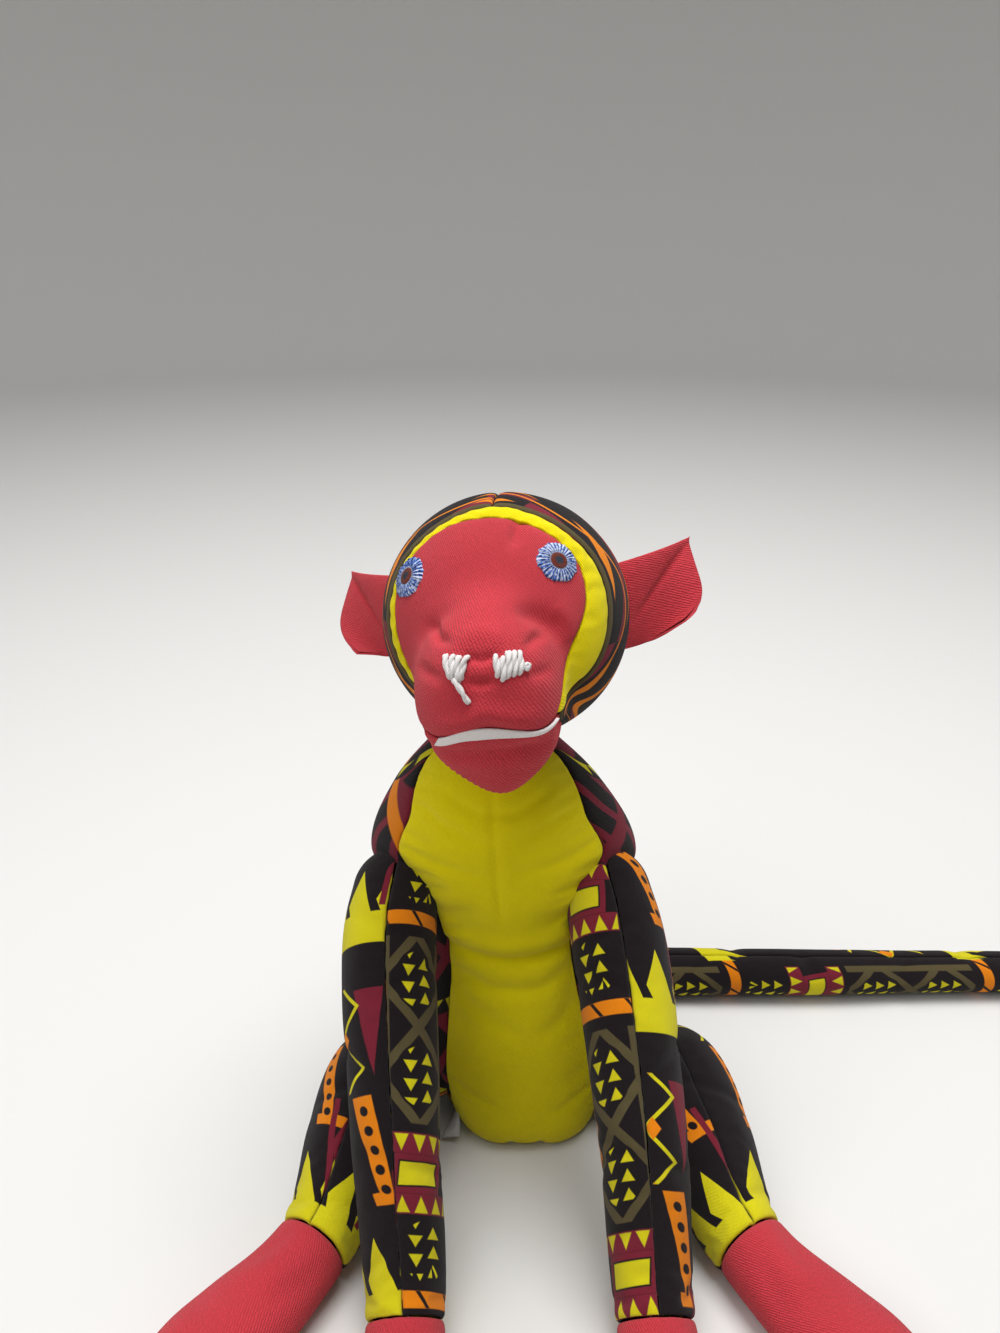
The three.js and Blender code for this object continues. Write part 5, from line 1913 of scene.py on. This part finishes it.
@dataclass
class Nostril:
    """A nostril: stitches of thick yarn side by side, drawn tight over the cloth.

    Pairs are for the toy's left and right. Gathers is how much closer the stitches stand at the foot, as a
    share of their place.
    """

    head: Head
    side: Side
    off: float = 7.2
    around: float = 100
    yarn_radius: float = 0.98
    pitch: float = 1.6
    half_length: float = 2.8
    gathers: Pair = (0.06, 0.5)
    strands: tuple[int, int] = (5, 4)

    def over(self, x: Array, z: Array, height: Array) -> Array:
        """Points over the face beside the nostril's middle."""
        return self.head.raised(self.head.beside(self.off, self.side.value * self.around, x, z), height)

    def laid(self, x: Array, z: Array, height: Array, radius: float, on_end: bool = False) -> list[Patch]:
        """Yarn along a line over the face, its plies starting beside the line or, on end, above it."""
        line = self.over(x, z, height)
        aside = self.over(x, z, height + 1) if on_end else self.over(x + 1, z, height)
        return yarn(line, aside - line, radius)

    def stitch(self, x: float, lean: float, length: float, drop: float) -> list[Patch]:
        """One stitch: up out of the cloth, over it and down again.

        Args:
            x: Its place to the toy's left.
            lean: How far its top leans aside.
            length: Its half length.
            drop: How far it is shifted down.

        Returns:
            Its two plies.
        """
        share = np.linspace(-1, 1, 30)
        z = length * np.sin(share * pi / 2) - drop
        height = 1.5 * np.cos(share * pi / 2) ** 0.6 - 0.7
        return self.laid(x + lean * share, z, height, self.yarn_radius)

    def loose_end(self) -> list[Patch]:
        """An untrimmed end that hangs from the lowest stitch and lies on the cloth."""
        share = np.linspace(0, 1, 34)
        x = -0.4 + 4.6 * share + 0.4 * np.sin(share * 5)
        z = -2.6 - 6.6 * share
        height = 1.2 - 0.25 * share + 0.3 * np.sin(share * 4)
        return self.laid(x, z, height, 0.85)

    def knot(self) -> list[Patch]:
        """A small knot at the outer end: one tight turn of yarn."""
        turn = np.linspace(0, 1.3 * TAU, 34)
        x = 4.9 + 0.5 * np.cos(turn)
        z = -1.2 + 0.5 * np.sin(turn)
        height = 0.7 + 0.05 * turn
        return self.laid(x, z, height, 0.75, on_end=True)

    def build(self, room: Workroom) -> None:
        """Lays the stitches, each a little different, and the loose end or the knot."""
        rng = np.random.default_rng(21 + self.side.value)
        strands, gather = self.side.pick(*self.strands), self.side.pick(*self.gathers)
        patches = []
        for k in range(strands):
            lean, length, drop = rng.uniform(-1, 1, 3)
            x = (k - (strands - 1) / 2) * self.pitch
            lean = 0.4 * lean + gather * x
            patches += self.stitch(x, lean, self.half_length + 0.5 * length, 0.5 * drop)
        patches += self.knot() if self.side is Side.LEFT else self.loose_end()
        word = self.side.word
        room.place(room.mesh(f"nostril_{word}_yarn", patches), WHITE_YARN, "head", [f"nostril_{word}"])


@dataclass
class Ear:
    """An ear of two layers: a cupped leaf, upturned at its outer end and creased from root to tip.

    Pairs are for the toy's left and right.
    """

    head: Head
    side: Side
    length: float = 27.2
    root_height: float = 32
    outer_height: float = 28
    upturn: Pair = (6.5, 0.5)
    above_middle: float = 0.5
    cup: float = 6
    sweep: Pair = (38, 48)
    set_back: float = 6
    layer: float = 1.5
    rim: float = 0.35
    rim_spread: float = 2.6
    crease_root: float = -0.35
    crease_tip: float = 0.9
    crease_width: float = 0.17
    lobe_cut: Pair = (9, 15)
    lobe_sag: Pair = (2.2, 0)
    tip_growth: float = 3.8
    bend_end: float = 0.35

    def crease_at(self, along: Array) -> Array:
        """Where the crease crosses the ear, from -1 at the lower edge to 1 at the upper."""
        return self.crease_root + (self.crease_tip - self.crease_root) * along

    def leaf(self, along: Array, across: Array) -> Array:
        """Middle of the ear in the head's own axes: from a line on the head, out and bent at the crease.

        Args:
            along: 0 at the head, 1 at the outer edge, below 0 inside the head.
            across: -1 at the lower edge, 1 at the upper.

        Returns:
            Points for the toy's left ear.
        """
        half_width = self.head.half[0]
        height = across * self.root_height / 2
        back = half_width * sin(radians(self.set_back))
        root = unit(np.stack([half_width + 0 * height, back + 0 * height, height + self.above_middle], -1))
        start = root * self.head.reach(root)[..., None]
        pairs = (self.lobe_cut, self.lobe_sag, self.upturn)
        lobe_cut, lobe_sag, upturn = (self.side.pick(*pair) for pair in pairs)
        length = self.length + np.where(across < 0, lobe_cut * across**3, self.tip_growth * across**2)
        rise = (upturn + across * self.outer_height / 2 - height) * along
        rise = rise + lobe_sag * np.minimum(across, 0) * np.sin(pi * np.clip(along, 0, 1))
        away = np.hypot(across - self.crease_at(along), self.crease_width)
        forward = self.cup * (away - self.crease_width) * along
        out, front = self.axes()
        leaf = start + out * (length * along)[..., None] + front * forward[..., None]
        return leaf + vec(0, 0, 1) * rise[..., None]

    def axes(self) -> tuple[Array, Array]:
        """Directions outwards and forwards of the toy's left ear in the head's own axes."""
        sweep = radians(self.side.pick(*self.sweep))
        return vec(cos(sweep), sin(sweep), 0), vec(sin(sweep), -cos(sweep), 0)

    def placed(self, points: Array) -> Array:
        """Points for this ear's side, in the frame."""
        return self.head.world(points * vec(self.side.value, 1, 1))

    def build(self, room: Workroom) -> None:
        """Sews the front and back layers, fuller inside than at the rim."""
        word = self.side.word
        front = self.axes()[1]
        u, v = lattice(np.linspace(-0.1, 1, 44), np.linspace(-1, 1, 44))
        leaf = self.leaf(u, v)
        rim = np.minimum((1 - np.abs(v)) * 12, (1 - u) * self.length)
        thickness = self.rim + self.layer * (1 - np.exp(-rim / self.rim_spread))
        start, end = self.placed(self.leaf(np.array([0.0, self.bend_end]), np.zeros(2)))
        bend = Bend("head", f"ear_{word}", start, end)
        way_out = np.linspace(0.02, 0.97, 9)
        fold = self.leaf(way_out, self.crease_at(way_out))
        for layer, way in (("front", 1), ("back", -1)):
            points = self.placed(leaf + front * (way * thickness)[..., None])
            core = self.placed(leaf - front * (way * 4))
            panel = Panel(
                f"ear_{word}_{layer}_cloth", points, core, Hem(foot=False),
                creases=[Crease(self.placed(fold + front * (way * self.layer)), 1.1, 1.0 * way)],
                seam_depth=0.0, pucker=0.16, turn_in=0.5,
            )
            room.place(room.cut(panel, stuffed=False), RED_TWILL, bend, [f"ear_{word}_{layer}"])


# Stage


@dataclass(frozen=True)
class Lamp:
    """A square soft light: its place and size in metres, and its power in watts."""

    name: str
    place: Triple
    size: float
    power: float


@dataclass
class Studio:
    """Pale floor running up into a backdrop, soft light, and the camera."""

    eye: Triple = (-11, -321, 346)
    pitch_deg: float = 25
    lens: float = 36
    sensor: float = 36
    floor_reach: float = 2.0
    floor_bend: float = 0.8
    backdrop_top: float = 2.2
    target: Triple = (0, 0, 0.1)
    lamps: tuple[Lamp, ...] = (
        Lamp("window", (-0.8, -0.7, 1.5), 1.2, 10),
        Lamp("ceiling", (0.1, 0.1, 1.4), 0.8, 20),
    )
    sky: float = 0.36

    def camera(self) -> None:
        """Places the camera, tipped down from the horizon."""
        data = bpy.data.cameras.new("camera")
        data.sensor_fit = "HORIZONTAL"
        data.sensor_width = self.sensor
        data.lens = self.lens
        data.clip_start = 0.01
        camera = bpy.data.objects.new("camera", data)
        camera.location = vec(*self.eye) * MM
        camera.rotation_euler = (radians(90 - self.pitch_deg), 0, 0)
        bpy.context.scene.collection.objects.link(camera)
        bpy.context.scene.camera = camera

    def hang(self, lamp: Lamp) -> None:
        """Hangs a lamp so that it faces the target."""
        data = bpy.data.lights.new(lamp.name, "AREA")
        data.size = lamp.size
        data.energy = lamp.power
        light = bpy.data.objects.new(lamp.name, data)
        x, y, z = vec(*lamp.place) - vec(*self.target)
        light.location = lamp.place
        light.rotation_euler = (atan2(hypot(x, y), z), 0, atan2(x, -y))
        bpy.context.scene.collection.objects.link(light)

    def floor(self) -> None:
        """Lays the floor: a line that runs level and then turns up in a wide curve, swept round the toy."""
        bend = np.radians(np.linspace(0, 90, 24))
        reach, curve = self.floor_reach, self.floor_bend
        out = np.concatenate([np.linspace(0, reach, 12), reach + curve * np.sin(bend[1:]), [reach + curve]])
        rise = np.concatenate([np.zeros(12), curve - curve * np.cos(bend[1:]), [self.backdrop_top]])
        radius, turn = lattice(out, np.linspace(0, TAU, 97))
        height, _ = lattice(rise, np.linspace(0, TAU, 97))
        points = np.stack([radius * np.cos(turn), radius * np.sin(turn), height], -1)
        floor = Workroom.mesh("floor", [Patch(points, points[..., :2], True, (True, False))])
        material = bpy.data.materials.new("floor paper")
        material.use_nodes = True
        shader = material.node_tree.nodes["Principled BSDF"]
        shader.inputs["Base Color"].default_value = linear(214, 213, 211)
        shader.inputs["Roughness"].default_value = 0.9
        shader.inputs["Specular IOR Level"].default_value = 0.1
        floor.data.materials.append(material)

    def build(self) -> None:
        """Sets camera, floor, lamps and sky."""
        self.camera()
        self.floor()
        for lamp in self.lamps:
            self.hang(lamp)
        world = bpy.data.worlds.new("sky")
        world.use_nodes = True
        background = world.node_tree.nodes["Background"]
        background.inputs[0].default_value = (1, 1, 1, 1)
        background.inputs[1].default_value = self.sky
        bpy.context.scene.world = world
        bpy.context.scene.view_settings.view_transform = "Standard"


def main() -> None:
    """Builds the studio, then the toy from the seat up."""
    logging.basicConfig(level=logging.INFO, format="%(name)s %(message)s")
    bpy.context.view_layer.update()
    Studio().build()
    room = Workroom(Wardrobe())
    torso = Torso()
    arms = [Arm(torso, side) for side in Side]
    legs = [Leg(torso, side) for side in Side]
    tail = Tail(torso)
    sockets = [Socket(limb.pivot, limb.root) for limb in (*arms, *legs, tail)]
    torso.build(room, [*sockets, torso.neck_socket()])
    for limb in (*arms, *legs, tail):
        limb.build(room)
    head = Head(torso)
    head.build(room)
    Mouth(head).build(room)
    for side in Side:
        for trimming in (Eye(head, side), Nostril(head, side), Ear(head, side)):
            trimming.build(room)


if __name__ == "__main__":
    main()
